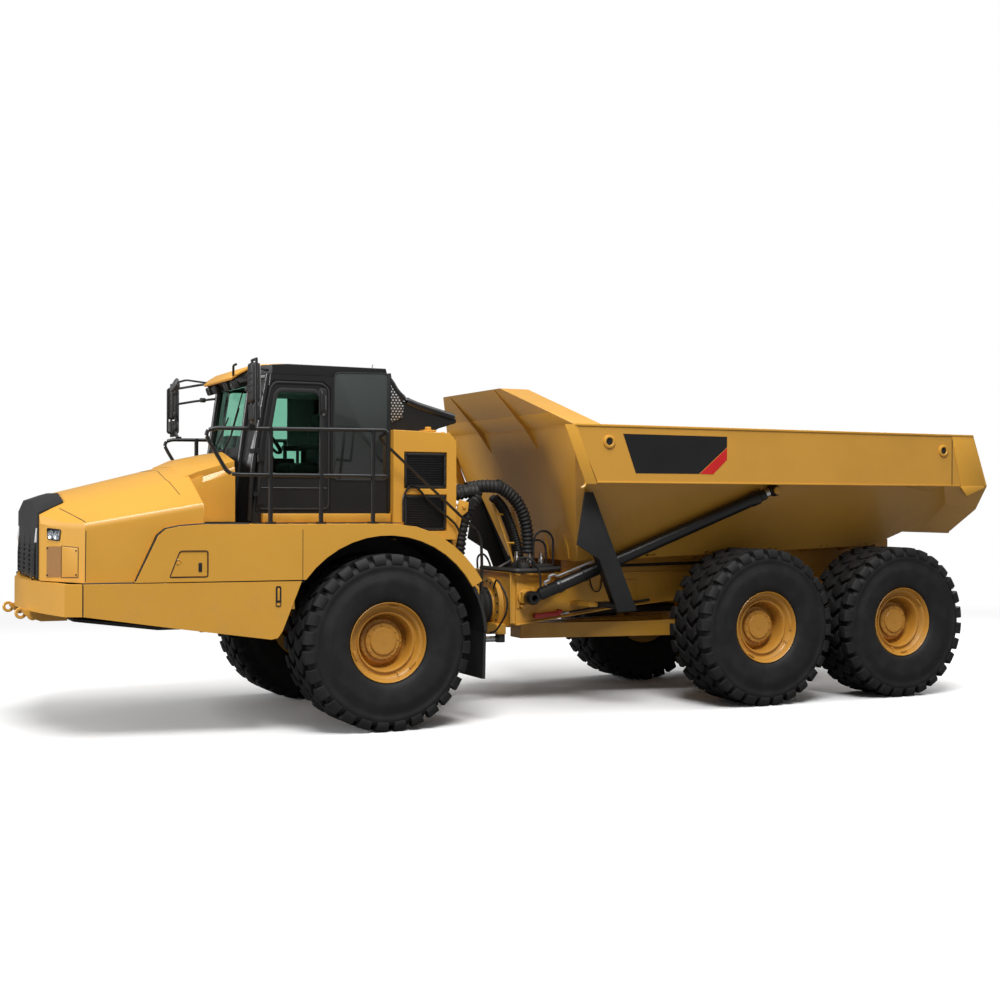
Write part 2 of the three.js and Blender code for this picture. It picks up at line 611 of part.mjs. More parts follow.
function addRearFrame() {
  const { inner, outer } = frameHalf;
  const side = [
    [230, 905], [230, rearFrameTop],
    ...arc(dumpHinge.x, dumpHinge.z, rearFrameTop - dumpHinge.z, 90, 270, 8),
    [-4700, 1250], [-1700, 1130], [-1080, 1075],
  ];
  const beams = [-1, 1].map((s) => prism('y', side, s * inner, s * outer));
  const cross = [-300, -1500, -2900, -3700, -4700].map((x) => box(x - 60, x + 60, -inner, inner, 1150, 1440));
  const plate = cut(
    prism('x', [[-500, rearFrameTop], [500, rearFrameTop], [500, 930], [400, 880], [-400, 880], [-500, 930]], 230, 280),
    bar([200, 0, hitchZ], [300, 0, hitchZ], 150, 20),
  );
  const mounts = [-1, 1].map((s) => {
    const [x, y, z] = hoist.low;
    return box(x - 70, x + 70, s * outer, s * (y - hoist.barrel - touch), z - 60, z + 60);
  });
  const nose = box(-170, 0, -130, 130, 900 + touch, 1200);
  const noseCross = box(-170, 0, -inner, inner, 1100, 1200);
  const rearNose = box(-3160, -3040, -130, 130, 900 + touch, 1200);
  const rearCross = box(-3160, -3040, -inner, inner, 1150, 1250);
  const saddles = [-1, 1].map((s) => box(-3440, -3300, s * inner, s * outer, 1110 + touch, 1210));
  const pinEnd = outer + 130;
  const pin = bar([dumpHinge.x, -pinEnd, dumpHinge.z], [dumpHinge.x, pinEnd, dumpHinge.z], 50, 16);
  const guardArm = [-1, 1].map((s) => box(-560, -460, s * outer, s * 1000, 1130, 1180));
  place('rear_frame', add(...beams, ...cross, plate, ...mounts, nose, noseCross, rearNose, rearCross,
    ...saddles, pin, ...guardArm), yellow);

  const yoke = (x, noseX) => {
    const arm = prism('z', [[noseX, 0], [noseX, 140], [noseX - 120, 160], [x, 560], [x, 400], [noseX - 250, 0]], 720, 900);
    return add(arm, flipped(arm), axleHousing(x));
  };
  place('middle_axle', yoke(middleAxleX, -20), yellow);
  place('rear_axle', yoke(rearAxleX, -3050), yellow);
  const beam = box(middleAxleX - 100, rearAxleX + 100, 640, 780, 1020 + touch, 1170);
  const beamX = (middleAxleX + rearAxleX) / 2;
  place('bogie_beams', add(beam, flipped(beam), bar([beamX, -700, 1060], [beamX, 700, 1060], 50, 16)), yellow);

  const guardTop = { x: -240, z: 2420 };
  const guardLow = { x: -780, z: 1110 };
  const thick = 30;
  const sheet = prism('y', [
    [guardTop.x, guardTop.z], [guardTop.x - thick, guardTop.z], [guardLow.x - thick, guardLow.z],
    [guardLow.x, guardLow.z],
  ], 700, 1650);
  const notch = prism('x', [[600, 2500], [1450, 2500], [1060, 1850], [1060, 1000], [600, 1000]], -1000, 0);
  const ledge = box(-775, -560 - touch, 900, 1100, 1130, 1180);
  placePair('mudguard', add(cut(sheet, notch), ledge), black);
}

// ---------------------------------------------------------------- dump body
function bodyRing(x, z, knee, floor) {
  return mirrored([
    [x[0], bodyHalf, railTop], [x[1], bodyHalf, railBottom], [x[1], knee[0], z[0]],
    [x[2], floor, z[1]],
  ]);
}

function addDumpBody() {
  const shell = loft([
    bodyRing([120, -160, -350], [railBottom, 1640], [railInner, 0], 880),
    bodyRing([-4500, -4500, -4500], [railBottom, 1780], [railInner, 0], 920),
    bodyRing([-4950, -4950, -4950], [2450, 1950], [railInner, 0], 960),
    bodyRing([-5200, -5200, -5200], [2300, 1955], [1450, 0], 1000),
    bodyRing([-5410, bodyTailX, -5560], [2235, 1935], [1510, 0], 1100),
  ]);
  const wallX = 80;                // front wall's thickness, along the machine
  const inside = (x, z, knee, floor) => mirrored([
    [x[0], bodyHalf - 70, railTop + 40], [x[1], knee + 90, railBottom + 150],
    [x[1], knee, z[0]], [x[2], floor, z[1]],
  ]);
  const hollow = loft([
    inside([120 - wallX, -160 - wallX, -350 - wallX], [railBottom + 20, 1690], railInner - 40, 830),
    inside([-4500, -4500, -4500], [railBottom + 20, 1830], railInner - 40, 870),
    inside([-4950, -4950, -4950], [2470, 2000], railInner - 40, 910),
    inside([-5200, -5200, -5200], [2350, 2005], 1400, 950),
    inside([-5700, -5700, -5700], [2290, 1985], 1460, 1050),
  ]);
  const hood = canopy();
  const subframe = [-1, 1].map((s) => prism('y', [
    [-420, rearFrameTop + touch], [-420, 1680], [-4700, 1830], [-5060, 1900], [-5060, rearFrameTop + 60],
    [-5000, rearFrameTop + touch],
  ], s * frameHalf.inner, s * frameHalf.outer));
  const ear = { in: frameHalf.outer + 10, out: frameHalf.outer + 100, root: frameHalf.outer - 20 };
  const ears = [-1, 1].map((s) => cut(
    add(
      bar([dumpHinge.x, s * ear.in, dumpHinge.z], [dumpHinge.x, s * ear.out, dumpHinge.z], 100, 20),
      box(dumpHinge.x - 100, dumpHinge.x + 100, s * ear.in, s * ear.out, dumpHinge.z, 1850),
      box(dumpHinge.x - 100, dumpHinge.x + 100, s * ear.root, s * ear.out, 1560, 1850),
    ),
    bar([dumpHinge.x, s * ear.root, dumpHinge.z], [dumpHinge.x, s * (ear.out + 20), dumpHinge.z], 50 + swing, 16),
  ));
  const [eyeX, eyeY, eyeZ] = hoist.top;
  const hoistEars = [-1, 1].map((s) => prism('y', [
    [eyeX + 110, railBottom + 20], [eyeX + 70, eyeZ - 60], [eyeX - 60, eyeZ - 60], [eyeX - 130, railBottom + 20],
  ], s * 1340, s * (eyeY - 66 - 6)));
  place('dump_body', add(cut(shell, hollow), ...hood, ...subframe, ...ears, ...hoistEars), yellow);
}

// The spill guard: a leaning plate above the front wall, its side wings and its stiffening fins.
function canopy() {
  const base = { x: 120, z: railTop };
  const tip = { x: 570, z: canopyTop };
  const depth = 350;
  const skin = 40;
  const block = loft([
    [[base.x, -bodyHalf, base.z], [base.x, bodyHalf, base.z], [base.x - depth, bodyHalf, base.z],
      [base.x - depth, -bodyHalf, base.z]],
    [[tip.x, -canopyHalf, tip.z], [tip.x, canopyHalf, tip.z], [tip.x - depth, canopyHalf, tip.z],
      [tip.x - depth, -canopyHalf, tip.z]],
  ]);
  const lower = box(base.x - depth, base.x, -bodyHalf, bodyHalf, base.z - 20, base.z + 5);
  const room = loft([
    [[base.x - skin, -bodyHalf + 120, base.z - 60], [base.x - skin, bodyHalf - 120, base.z - 60],
      [base.x - depth - 60, bodyHalf - 120, base.z - 60], [base.x - depth - 60, -bodyHalf + 120, base.z - 60]],
    [[tip.x - skin - 40, -canopyHalf + 30, tip.z - skin], [tip.x - skin - 40, canopyHalf - 30, tip.z - skin],
      [tip.x - depth - 60, canopyHalf - 30, tip.z - skin], [tip.x - depth - 60, -canopyHalf + 30, tip.z - skin]],
  ]);
  const fins = [-620, 620].map((y) => prism('y', [
    [tip.x - 4, tip.z - 12], [tip.x - 60, tip.z - 60], [base.x - 12, base.z], [-60, 2900], [-8, 2860],
    [base.x + 70, base.z],
  ], y - 12, y + 12));
  return [cut(add(block, lower), room), ...fins];
}

// ---------------------------------------------------------------- cylinders
function hoistParts() {
  const low = vec(hoist.low);
  const top = vec(hoist.top);
  const along = top.clone().sub(low).normalize();
  const length = top.distanceTo(low);
  const at = (s) => low.clone().addScaledVector(along, s).toArray();
  const tube = (from, to, radius, bore, mouth) => cut(
    bar(at(from), at(to), radius, 12), bar(at(mouth), at(to + 5), bore, 12));
  const barrelEnd = length - 220;
  const stageEnd = length - 130;
  return {
    barrel: add(ball(hoist.low, hoist.barrel), tube(40, barrelEnd, hoist.barrel, hoist.stage + running, 130)),
    stage: tube(160, stageEnd, hoist.stage, hoist.rod + running, 200),
    rod: add(bar(at(230), at(length), hoist.rod, 12), ball(hoist.top, 66)),
  };
}

function steerParts() {
  const front = vec(steer.front);
  const rear = vec(steer.rear);
  const along = rear.clone().sub(front).normalize();
  const length = rear.distanceTo(front);
  const at = (s) => front.clone().addScaledVector(along, s).toArray();
  return {
    barrel: add(
      bar([...steer.front.slice(0, 2), 700], [...steer.front.slice(0, 2), 790], 60, 16),
      cut(bar(at(30), at(780), steer.barrel, 16), bar(at(110), at(790), steer.rod + running, 16)),
    ),
    rod: add(
      bar(at(360), at(length), steer.rod, 16),
      bar([...steer.rear.slice(0, 2), 705], [...steer.rear.slice(0, 2), steerEyeTop - touch], 55, 16),
    ),
  };
}

// The large corrugated hose that arches over the hitch.
const hoseRoute = [
  [1180 - touch, 480, 2380], [1100, 480, 2380], [940, 480, 2450], [760, 480, 2480], [540, 470, 2440], [330, 460, 2330],
  [160, 450, 2160], [50, 450, 1960], [0, 450, 1740], [0, 450, rearFrameTop + touch],
];

function addHose() {
  place('hitch_hose', sweep(hoseRoute, 55, 10), rubber);
}

function addCylinders() {
  const lift = hoistParts();
  placePair('hoist_barrel', lift.barrel, black);
  placePair('hoist_stage', lift.stage, steel);
  placePair('hoist_rod', lift.rod, steel);
  const turn = steerParts();
  placePair('steering_barrel', turn.barrel, black);
  placePair('steering_rod', turn.rod, steel);
}

addTractorFrame();
addBumper();
addSkirts();
addFenders();
addMudflaps();
addCab();
addHood();
addHandrails();
addMirrors();
addCoolingTower();
addHitch();
addRearFrame();
addDumpBody();
addCylinders();
addHose();
addWheels();

export default group;
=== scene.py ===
import json
import math
import bmesh
import bpy
from mathutils import Matrix, Vector


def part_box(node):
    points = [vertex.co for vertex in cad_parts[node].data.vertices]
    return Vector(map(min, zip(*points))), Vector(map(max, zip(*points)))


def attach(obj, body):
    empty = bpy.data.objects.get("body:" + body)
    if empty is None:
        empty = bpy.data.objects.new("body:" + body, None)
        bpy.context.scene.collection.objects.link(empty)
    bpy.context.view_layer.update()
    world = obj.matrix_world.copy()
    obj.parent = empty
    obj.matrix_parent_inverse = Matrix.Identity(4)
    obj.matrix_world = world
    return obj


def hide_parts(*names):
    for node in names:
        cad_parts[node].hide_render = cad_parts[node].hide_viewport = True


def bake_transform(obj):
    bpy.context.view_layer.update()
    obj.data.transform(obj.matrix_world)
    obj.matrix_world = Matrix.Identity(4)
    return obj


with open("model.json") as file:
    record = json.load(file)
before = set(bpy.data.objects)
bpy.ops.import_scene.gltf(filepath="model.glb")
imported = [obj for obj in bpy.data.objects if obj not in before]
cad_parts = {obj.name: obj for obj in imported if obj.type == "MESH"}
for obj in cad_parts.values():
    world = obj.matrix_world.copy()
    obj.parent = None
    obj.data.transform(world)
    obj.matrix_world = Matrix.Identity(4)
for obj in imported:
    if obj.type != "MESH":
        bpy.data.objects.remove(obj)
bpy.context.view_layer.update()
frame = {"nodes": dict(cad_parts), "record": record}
nodes = frame["nodes"]
tau = 2 * math.pi
wheelHeight = 0.89  # of every wheel's middle
bothEnds = ((1, "left"), (-1, "right"))


# Selecting, placing and finishing a piece
def pickNothing():
    bpy.ops.object.select_all(action="DESELECT")


def pick(*pieces):
    pickNothing()
    for piece in pieces:
        piece.select_set(True)
    bpy.context.view_layer.objects.active = pieces[0]


def editMode(piece):
    pick(piece)
    bpy.ops.object.mode_set(mode="EDIT")
    bpy.ops.mesh.select_all(action="SELECT")


def objectMode():
    bpy.ops.object.mode_set(mode="OBJECT")


def settle(piece):  # puts the place into the mesh, so the object sits at the origin
    pick(piece)
    bpy.ops.object.transform_apply(location=True, rotation=True, scale=True)
    return piece


def addModifier(piece, kind, **settings):
    pick(piece)
    modifier = piece.modifiers.new(kind.lower(), kind)
    for key, value in settings.items():
        setattr(modifier, key, value)
    bpy.ops.object.modifier_apply(modifier=modifier.name)


def smooth(piece, degrees=35):
    pick(piece)
    bpy.ops.object.shade_smooth_by_angle(angle=math.radians(degrees), keep_sharp_edges=False)


def roundEdges(piece, width=0.004, segments=2, degrees=30):
    addModifier(piece, "BEVEL", width=width, segments=segments, limit_method="ANGLE",
                angle_limit=math.radians(degrees), use_clamp_overlap=True, harden_normals=False)
    smooth(piece, 40)
    return piece


def joined(name, pieces):
    pick(*pieces)
    if len(pieces) > 1:
        bpy.ops.object.join()
    piece = bpy.context.object
    piece.name = name
    piece.data.name = name
    return piece


def copied(piece, name, matrix):  # a copy with its own mesh, turned right side out if it was mirrored
    twin = piece.copy()
    twin.data = piece.data.copy()
    twin.name = name
    bpy.context.scene.collection.objects.link(twin)
    twin.data.transform(matrix)
    if matrix.determinant() < 0:
        twin.data.flip_normals()
    return twin


def mirroredY(piece, name):
    return copied(piece, name, Matrix.Diagonal((1, -1, 1, 1)))


def finishPiece(piece, name, material, body, slot, *replaced):  # with no body, the piece is left unattached
    piece.name = name
    piece.data.materials.clear()
    piece.data.materials.append(material)
    if body:
        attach(piece, body)
    if replaced:
        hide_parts(*replaced)
    return piece


def assemble(name, parts, material, body, slot, *replaced):  # joins the parts and finishes them as one piece
    return finishPiece(joined(name, parts), name, material, body, slot, *replaced)


# Shapes that most pieces start from
def chain(points, name="chain"):  # a row of points, drawn by extruding one vertex
    pickNothing()
    first = Vector(points[0])
    bpy.ops.mesh.primitive_plane_add(size=0.01, location=first)
    piece = bpy.context.object
    piece.name = name
    bpy.ops.object.mode_set(mode="EDIT")
    bpy.ops.mesh.merge(type="CENTER")
    last = first
    for point in points[1:]:
        step = Vector(point) - last
        bpy.ops.mesh.extrude_vertices_move(TRANSFORM_OT_translate={"value": step})
        last = Vector(point)
    objectMode()
    return settle(piece)


def plate(outline, push, width=0.004, segments=2, name="plate"):  # a filled outline, pulled out along push
    piece = chain(outline, name)
    editMode(piece)
    bpy.ops.mesh.edge_face_add()
    bpy.ops.mesh.extrude_region_move(TRANSFORM_OT_translate={"value": Vector(push)})
    bpy.ops.mesh.select_all(action="SELECT")
    bpy.ops.mesh.normals_make_consistent(inside=False)
    objectMode()
    if width:
        roundEdges(piece, width, segments)
    return piece


def sidePlate(outline, y0, y1, width=0.004, segments=2, name="plate"):  # outline in x and z
    return plate([(x, y0, z) for x, z in outline], (0, y1 - y0, 0), width, segments, name)


def block(low, high, width=0.004, segments=2, name="block"):
    pickNothing()
    centre = (Vector(low) + Vector(high)) / 2
    size = Vector(high) - Vector(low)
    bpy.ops.mesh.primitive_cube_add(size=1, location=centre, scale=size)
    piece = settle(bpy.context.object)
    piece.name = name
    if width:
        roundEdges(piece, width, segments)
    return piece


def turned(profile, centre, axis=(0, 1, 0), steps=64, name="turned"):  # profile of (radius, along) points
    across = Vector((0, 0, 1)) if abs(axis[2]) < 0.9 else Vector((1, 0, 0))
    along = Vector(axis)
    middle = Vector(centre)
    piece = chain([middle + across * r + along * a for r, a in profile], name)
    editMode(piece)
    bpy.ops.mesh.spin(steps=steps, angle=tau, center=middle, axis=along)
    bpy.ops.mesh.select_all(action="SELECT")
    bpy.ops.mesh.remove_doubles(threshold=0.0002)
    bpy.ops.mesh.select_all(action="SELECT")
    bpy.ops.mesh.normals_make_consistent(inside=False)
    objectMode()
    smooth(piece, 35)
    return piece


def ringProfile(inner, shoulder, outer, flat, half):  # a square ring with its outer edges cut back
    return [(inner, -half), (shoulder, -half), (outer, -flat), (outer, flat), (shoulder, half), (inner, half),
            (inner, -half)]


def tube(points, radius, bend=0.05, sides=12, name="tube"):  # a bent pipe with round corners
    piece = chain(points, name)
    if bend and len(points) > 2:
        editMode(piece)
        mesh = bmesh.from_edit_mesh(piece.data)
        for vertex in mesh.verts:
            vertex.select = len(vertex.link_edges) == 2
        bmesh.update_edit_mesh(piece.data)
        bpy.ops.mesh.bevel(offset=bend, segments=5, affect="VERTICES")
        objectMode()
    pick(piece)
    bpy.ops.object.convert(target="CURVE")
    piece = bpy.context.object
    piece.data.bevel_depth = radius
    piece.data.bevel_resolution = max(1, sides // 4 - 1)
    piece.data.use_fill_caps = True
    bpy.ops.object.convert(target="MESH")
    piece = bpy.context.object
    smooth(piece, 50)
    return piece


def disc(centre, radius, axis, depth, width=0.003, sides=32, name="disc"):  # a short bevelled cylinder
    pickNothing()
    turn = Vector((0, 0, 1)).rotation_difference(Vector(axis)).to_euler()
    middle = Vector(centre) + Vector(axis).normalized() * depth / 2
    bpy.ops.mesh.primitive_cylinder_add(vertices=sides, radius=radius, depth=depth, location=middle,
                                        rotation=turn)
    piece = settle(bpy.context.object)
    piece.name = name
    roundEdges(piece, width, 2)
    return piece


def boltRing(centre, radius, axis, count, size, height, start=0, name="bolts"):
    axis = Vector(axis).normalized()
    across = axis.orthogonal().normalized()
    bolts = []
    first = disc(Vector(centre) + across * radius, size, axis, height, size * 0.18, 6)
    for index in range(count):
        turn = Matrix.Rotation(start + tau * index / count, 4, axis)
        place = Matrix.Translation(centre) @ turn @ Matrix.Translation(-Vector(centre))
        bolts.append(copied(first, "bolt", place))
    bpy.data.objects.remove(first)
    return joined(name, bolts)


def softened(node, width, segments=2, name=None, degrees=28):  # a bevelled copy that stands for a CAD node
    piece = bpy.data.objects.new(name or node + "Skin", nodes[node].data.copy())
    bpy.context.scene.collection.objects.link(piece)
    editMode(piece)
    bpy.ops.mesh.remove_doubles(threshold=0.0001)
    bpy.ops.mesh.dissolve_limited(angle_limit=math.radians(0.6))
    objectMode()
    roundEdges(piece, width, segments, degrees)
    addModifier(piece, "WEIGHTED_NORMAL", keep_sharp=True)
    return piece


# Shader maths, written as plain expressions
class Wire:
    def __init__(self, graph, socket):
        self.graph, self.socket = graph, socket

    def maths(self, operation, *values):
        return self.graph.add("ShaderNodeMath", {"operation": operation}, *values)

    def __add__(self, other):
        return self.maths("ADD", self, other)

    def __sub__(self, other):
        return self.maths("SUBTRACT", self, other)

    def __mul__(self, other):
        return self.maths("MULTIPLY", self, other)

    def __gt__(self, other):
        return self.maths("GREATER_THAN", self, other)

    def __lt__(self, other):
        return self.maths("LESS_THAN", self, other)

    def __rsub__(self, other):
        return self.maths("SUBTRACT", other, self)

    __radd__ = __add__
    __rmul__ = __mul__

    def clamped(self):
        return self.graph.add("ShaderNodeClamp", {}, self)

    def between(self, low, high):  # 0 below low, 1 above high, smooth on the way
        return self.graph.add("ShaderNodeMapRange", {"interpolation_type": "SMOOTHSTEP"}, self, low, high,
                              0.0, 1.0)


class Graph:
    def __init__(self, name):
        self.material = bpy.data.materials.new(name)
        self.material.use_nodes = True
        self.tree = self.material.node_tree
        self.shader = self.tree.nodes["Principled BSDF"]

    def add(self, kind, settings, *values, output=0, **named):
        node = self.tree.nodes.new(kind)
        for key, value in settings.items():
            if key == "stops":
                while len(node.color_ramp.elements) < len(value):
                    node.color_ramp.elements.new(0.5)
                for element, (position, colour) in zip(node.color_ramp.elements, value):
                    element.position, element.color = position, colour
            else:
                setattr(node, key, value)
        for index, value in enumerate(values):
            self.connect(value, node.inputs[index])
        for key, value in named.items():
            self.connect(value, node.inputs[key])
        return Wire(self, node.outputs[output])

    def connect(self, value, socket):
        if isinstance(value, Wire):
            self.tree.links.new(value.socket, socket)
        elif value is not None:
            socket.default_value = value

    def place(self):  # where a point of the piece is, in metres
        return self.add("ShaderNodeTexCoord", {}, output="Object")

    def axis(self, letter):
        return self.add("ShaderNodeSeparateXYZ", {}, self.place(), output="XYZ".index(letter))

    def noise(self, scale, detail=3.0, roughness=0.5, vector=None):
        return self.add("ShaderNodeTexNoise", {}, Vector=vector or self.place(), Scale=scale, Detail=detail,
                        Roughness=roughness)

    def mixed(self, factor, first, second, blend="MIX"):
        node = self.tree.nodes.new("ShaderNodeMix")
        node.data_type, node.blend_type = "RGBA", blend
        for value, index in ((factor, 0), (first, 6), (second, 7)):
            self.connect(value, node.inputs[index])
        return Wire(self, node.outputs[2])

    def bump(self, height, strength, distance):
        return self.add("ShaderNodeBump", {}, Strength=strength, Distance=distance, Height=height)

    def build(self, **sockets):
        for key, value in sockets.items():
            self.connect(value, self.shader.inputs[key.replace("_", " ")])
        return self.material


def rgb(red, green, blue):
    return (red, green, blue, 1.0)


# The finishes of the machine
def paintedSteel(name, colour, shade, dust, rough=0.34, coat=0.35, dirt=0.25):
    graph = Graph(name)
    broad = graph.noise(1.3, 4.0, 0.6)
    fine = graph.noise(38.0, 2.0)
    tone = graph.mixed(broad.between(0.35, 0.75) * 0.5, colour, shade)
    height = graph.axis("Z")
    film = (1 - height.between(0.35, 2.1)) * graph.noise(5.5, 6.0, 0.65).between(0.42, 0.72) * dirt
    skin = graph.noise(420.0, 1.0)
    return graph.build(
        Base_Color=graph.mixed(film, tone, dust),
        Roughness=(rough + fine * 0.07 + film * 0.9).clamped(),
        Coat_Weight=(coat - film).clamped(),
        Coat_Roughness=0.12,
        Normal=graph.bump(skin * 0.6 + broad * 0.4, 0.05, 0.002),
    )


def mouldedPlastic(name, colour, lighter, rough=0.55, grain=900.0):
    graph = Graph(name)
    speckle = graph.noise(grain, 2.0)
    broad = graph.noise(3.0, 4.0)
    return graph.build(
        Base_Color=graph.mixed(broad.between(0.3, 0.8), colour, lighter),
        Roughness=(rough + speckle * 0.12).clamped(),
        Normal=graph.bump(speckle, 0.12, 0.0008),
    )


def tyreRubber():
    graph = Graph("tyreRubber")
    broad = graph.noise(6.0, 5.0, 0.6)
    fine = graph.noise(160.0, 3.0)
    return graph.build(Base_Color=graph.mixed(broad.between(0.35, 0.75), rgb(0.009, 0.009, 0.0095),
                                              rgb(0.017, 0.0165, 0.0165)),
                       Roughness=(0.5 + broad * 0.22 + fine * 0.08).clamped(), Specular_IOR_Level=0.3,
                       Normal=graph.bump(fine, 0.15, 0.0015),)


def castIron(name, colour, lighter):
    graph = Graph(name)
    grit = graph.noise(210.0, 4.0, 0.7)
    broad = graph.noise(2.4, 4.0)
    return graph.build(
        Base_Color=graph.mixed(broad.between(0.3, 0.7), colour, lighter),
        Roughness=(0.55 + grit * 0.2).clamped(),
        Metallic=0.25,
        Normal=graph.bump(grit, 0.25, 0.002),
    )


def tintedGlass(name, colour, rough=0.02):
    graph = Graph(name)
    film = graph.noise(4.0, 4.0).between(0.5, 0.85)
    return graph.build(
        Base_Color=graph.mixed(film, colour, tuple(0.9 * c for c in colour[:3]) + (1.0,)),
        Roughness=(rough + film * 0.03).clamped(),
        Transmission_Weight=1.0,
        IOR=1.08,
    )


def smokedPane():  # a dark green grey pane whose back is lined: painted shade for the cab's inside, with a painted sheen that lightens it towards the top
    graph = Graph("smokedPane")
    # painted sheen: the pane is mixed lighter towards its top
    height = graph.axis("Z").between(2.6, 3.6)
    cloud = graph.noise(2.2, 3.0)
    return graph.build(
        Base_Color=graph.mixed(height * 0.7 + cloud * 0.2, rgb(0.012, 0.014, 0.014), rgb(0.05, 0.06, 0.056)),
        Roughness=(0.05 + cloud * 0.06).clamped(),
        Coat_Weight=0.6,
    )


def brightSteel():
    graph = Graph("brightSteel")
    streaks = graph.add("ShaderNodeMapping", {}, graph.place(), Scale=(90.0, 90.0, 6.0))
    lines = graph.noise(12.0, 3.0, 0.6, streaks)
    return graph.build(
        Base_Color=graph.mixed(lines, rgb(0.52, 0.52, 0.53), rgb(0.68, 0.68, 0.69)),
        Roughness=(0.18 + lines * 0.16).clamped(),
        Metallic=1.0,
        Normal=graph.bump(lines, 0.06, 0.0006),
    )


def wovenCloth():
    graph = Graph("wovenCloth")
    place = graph.place()
    across = graph.add("ShaderNodeTexWave", {"wave_type": "BANDS", "bands_direction": "Y"}, Vector=place,
                       Scale=160.0)
    upward = graph.add("ShaderNodeTexWave", {"wave_type": "BANDS", "bands_direction": "Z"}, Vector=place,
                       Scale=160.0)
    weave = across * upward
    return graph.build(
        Base_Color=graph.mixed(weave, rgb(0.012, 0.012, 0.014), rgb(0.05, 0.05, 0.056)),
        Roughness=0.9,
        Normal=graph.bump(weave, 0.4, 0.001),
    )


def punchedSheet(name, sheet, hole, pitch):  # a staggered field of round holes drawn in colour only: the hole colour paints the shade behind the sheet, and in openMesh the light seen through it
    graph = Graph(name)
    along = graph.axis("X") * 0.8 + graph.axis("Y")
    rows = graph.axis("Z") * (1 / pitch)
    row = graph.add("ShaderNodeMath", {"operation": "FLOOR"}, rows)
    shift = graph.add("ShaderNodeMath", {"operation": "FRACT"}, row * 0.5)
    u = graph.add("ShaderNodeMath", {"operation": "FRACT"}, along * (1 / pitch) + shift) - 0.5
    v = graph.add("ShaderNodeMath", {"operation": "FRACT"}, rows) - 0.5
    # where the holes are; their colour is painted shade, in openMesh painted light
    holeShadingMask = 1 - (u * u + v * v).between(0.07, 0.11)
    grit = graph.noise(90.0, 3.0)
    return graph.build(
        Base_Color=graph.mixed(holeShadingMask, sheet, hole),
        Roughness=(0.45 + grit * 0.2).clamped(),
        Normal=graph.bump(1 - holeShadingMask, 0.5, 0.002),
    )


def loadBed():  # the outside as painted; the up-facing inside floor and slopes carry streaked brown-grey patches, a painted reflection
    graph = Graph("loadBed")
    broad = graph.noise(1.3, 4.0, 0.6)
    tone = graph.mixed(broad.between(0.35, 0.75) * 0.5, rgb(0.6, 0.3, 0.04), rgb(0.5, 0.25, 0.034))
    facing = graph.add("ShaderNodeSeparateXYZ", {}, graph.add("ShaderNodeNewGeometry", {}, output="Normal"),
                       output=2)
    height = graph.axis("Z")
    inside = facing.between(0.2, 0.3) * (height < 2.62) * (graph.axis("X") > -5.7)
    streaks = graph.add("ShaderNodeMapping", {}, graph.place(), Scale=(1.0, 7.0, 7.0))
    # painted reflection: streaked brown-grey patches on up-facing inner surfaces
    paintedReflectionMask = graph.noise(3.4, 10.0, 0.75, streaks).between(0.35, 0.75) * inside * 0.5
    grit = graph.noise(60.0, 4.0, 0.7)
    paintedReflectionColour = graph.mixed(grit, rgb(0.2, 0.16, 0.12), rgb(0.33, 0.29, 0.25))
    return graph.build(
        Base_Color=graph.mixed(paintedReflectionMask, tone, paintedReflectionColour),
        Roughness=(0.38 + paintedReflectionMask * 0.25 + grit * 0.06).clamped(),
        Metallic=paintedReflectionMask * 0.5,
        Coat_Weight=(0.25 - paintedReflectionMask).clamped(),
        Normal=graph.bump(graph.noise(420.0, 1.0) + paintedReflectionMask * grit, 0.08, 0.002),
    )


machinePaint = paintedSteel("machinePaint", rgb(0.63, 0.315, 0.036), rgb(0.57, 0.28, 0.03),
                            rgb(0.31, 0.2, 0.09), 0.36, 0.22)
rimPaint = paintedSteel("rimPaint", rgb(0.52, 0.245, 0.03), rgb(0.44, 0.2, 0.024), rgb(0.25, 0.15, 0.06),
                        0.38, 0.2)
# the load bed's finish, with painted reflection patches inside
bedPaint = loadBed()
blackPaint = paintedSteel("blackPaint", rgb(0.0065, 0.0065, 0.007), rgb(0.011, 0.011, 0.011),
                          rgb(0.04, 0.035, 0.03), 0.34, 0.12, 0.15)
redPaint = paintedSteel("redPaint", rgb(0.42, 0.012, 0.01), rgb(0.34, 0.01, 0.01), rgb(0.15, 0.08, 0.06))
blackPlastic = mouldedPlastic("blackPlastic", rgb(0.007, 0.007, 0.0075), rgb(0.013, 0.013, 0.0135))
# rustMesh and blackMesh paint their holes darker as painted shade behind the sheet; openMesh paints them pale
# as painted light seen through
rustMesh = punchedSheet("rustMesh", rgb(0.32, 0.15, 0.03), rgb(0.17, 0.075, 0.014), 0.011)
blackMesh = punchedSheet("blackMesh", rgb(0.018, 0.018, 0.019), rgb(0.004, 0.004, 0.004), 0.02)
openMesh = punchedSheet("openMesh", rgb(0.02, 0.02, 0.021), rgb(0.42, 0.42, 0.42), 0.03)
greyPlastic = mouldedPlastic("greyPlastic", rgb(0.05, 0.05, 0.052), rgb(0.075, 0.075, 0.078))
galvanised = mouldedPlastic("galvanised", rgb(0.24, 0.24, 0.25), rgb(0.34, 0.34, 0.35), 0.4)
liningGrey = mouldedPlastic("liningGrey", rgb(0.2, 0.205, 0.205), rgb(0.25, 0.255, 0.255))
decalFilm = mouldedPlastic("decalFilm", rgb(0.008, 0.008, 0.009), rgb(0.012, 0.012, 0.013), 0.3, 200.0)
decalStripe = mouldedPlastic("decalStripe", rgb(0.55, 0.012, 0.014), rgb(0.6, 0.02, 0.02), 0.32, 200.0)
whitePaint = mouldedPlastic("whitePaint", rgb(0.7, 0.7, 0.7), rgb(0.8, 0.8, 0.8), 0.35, 300.0)
tyreBlack = tyreRubber()
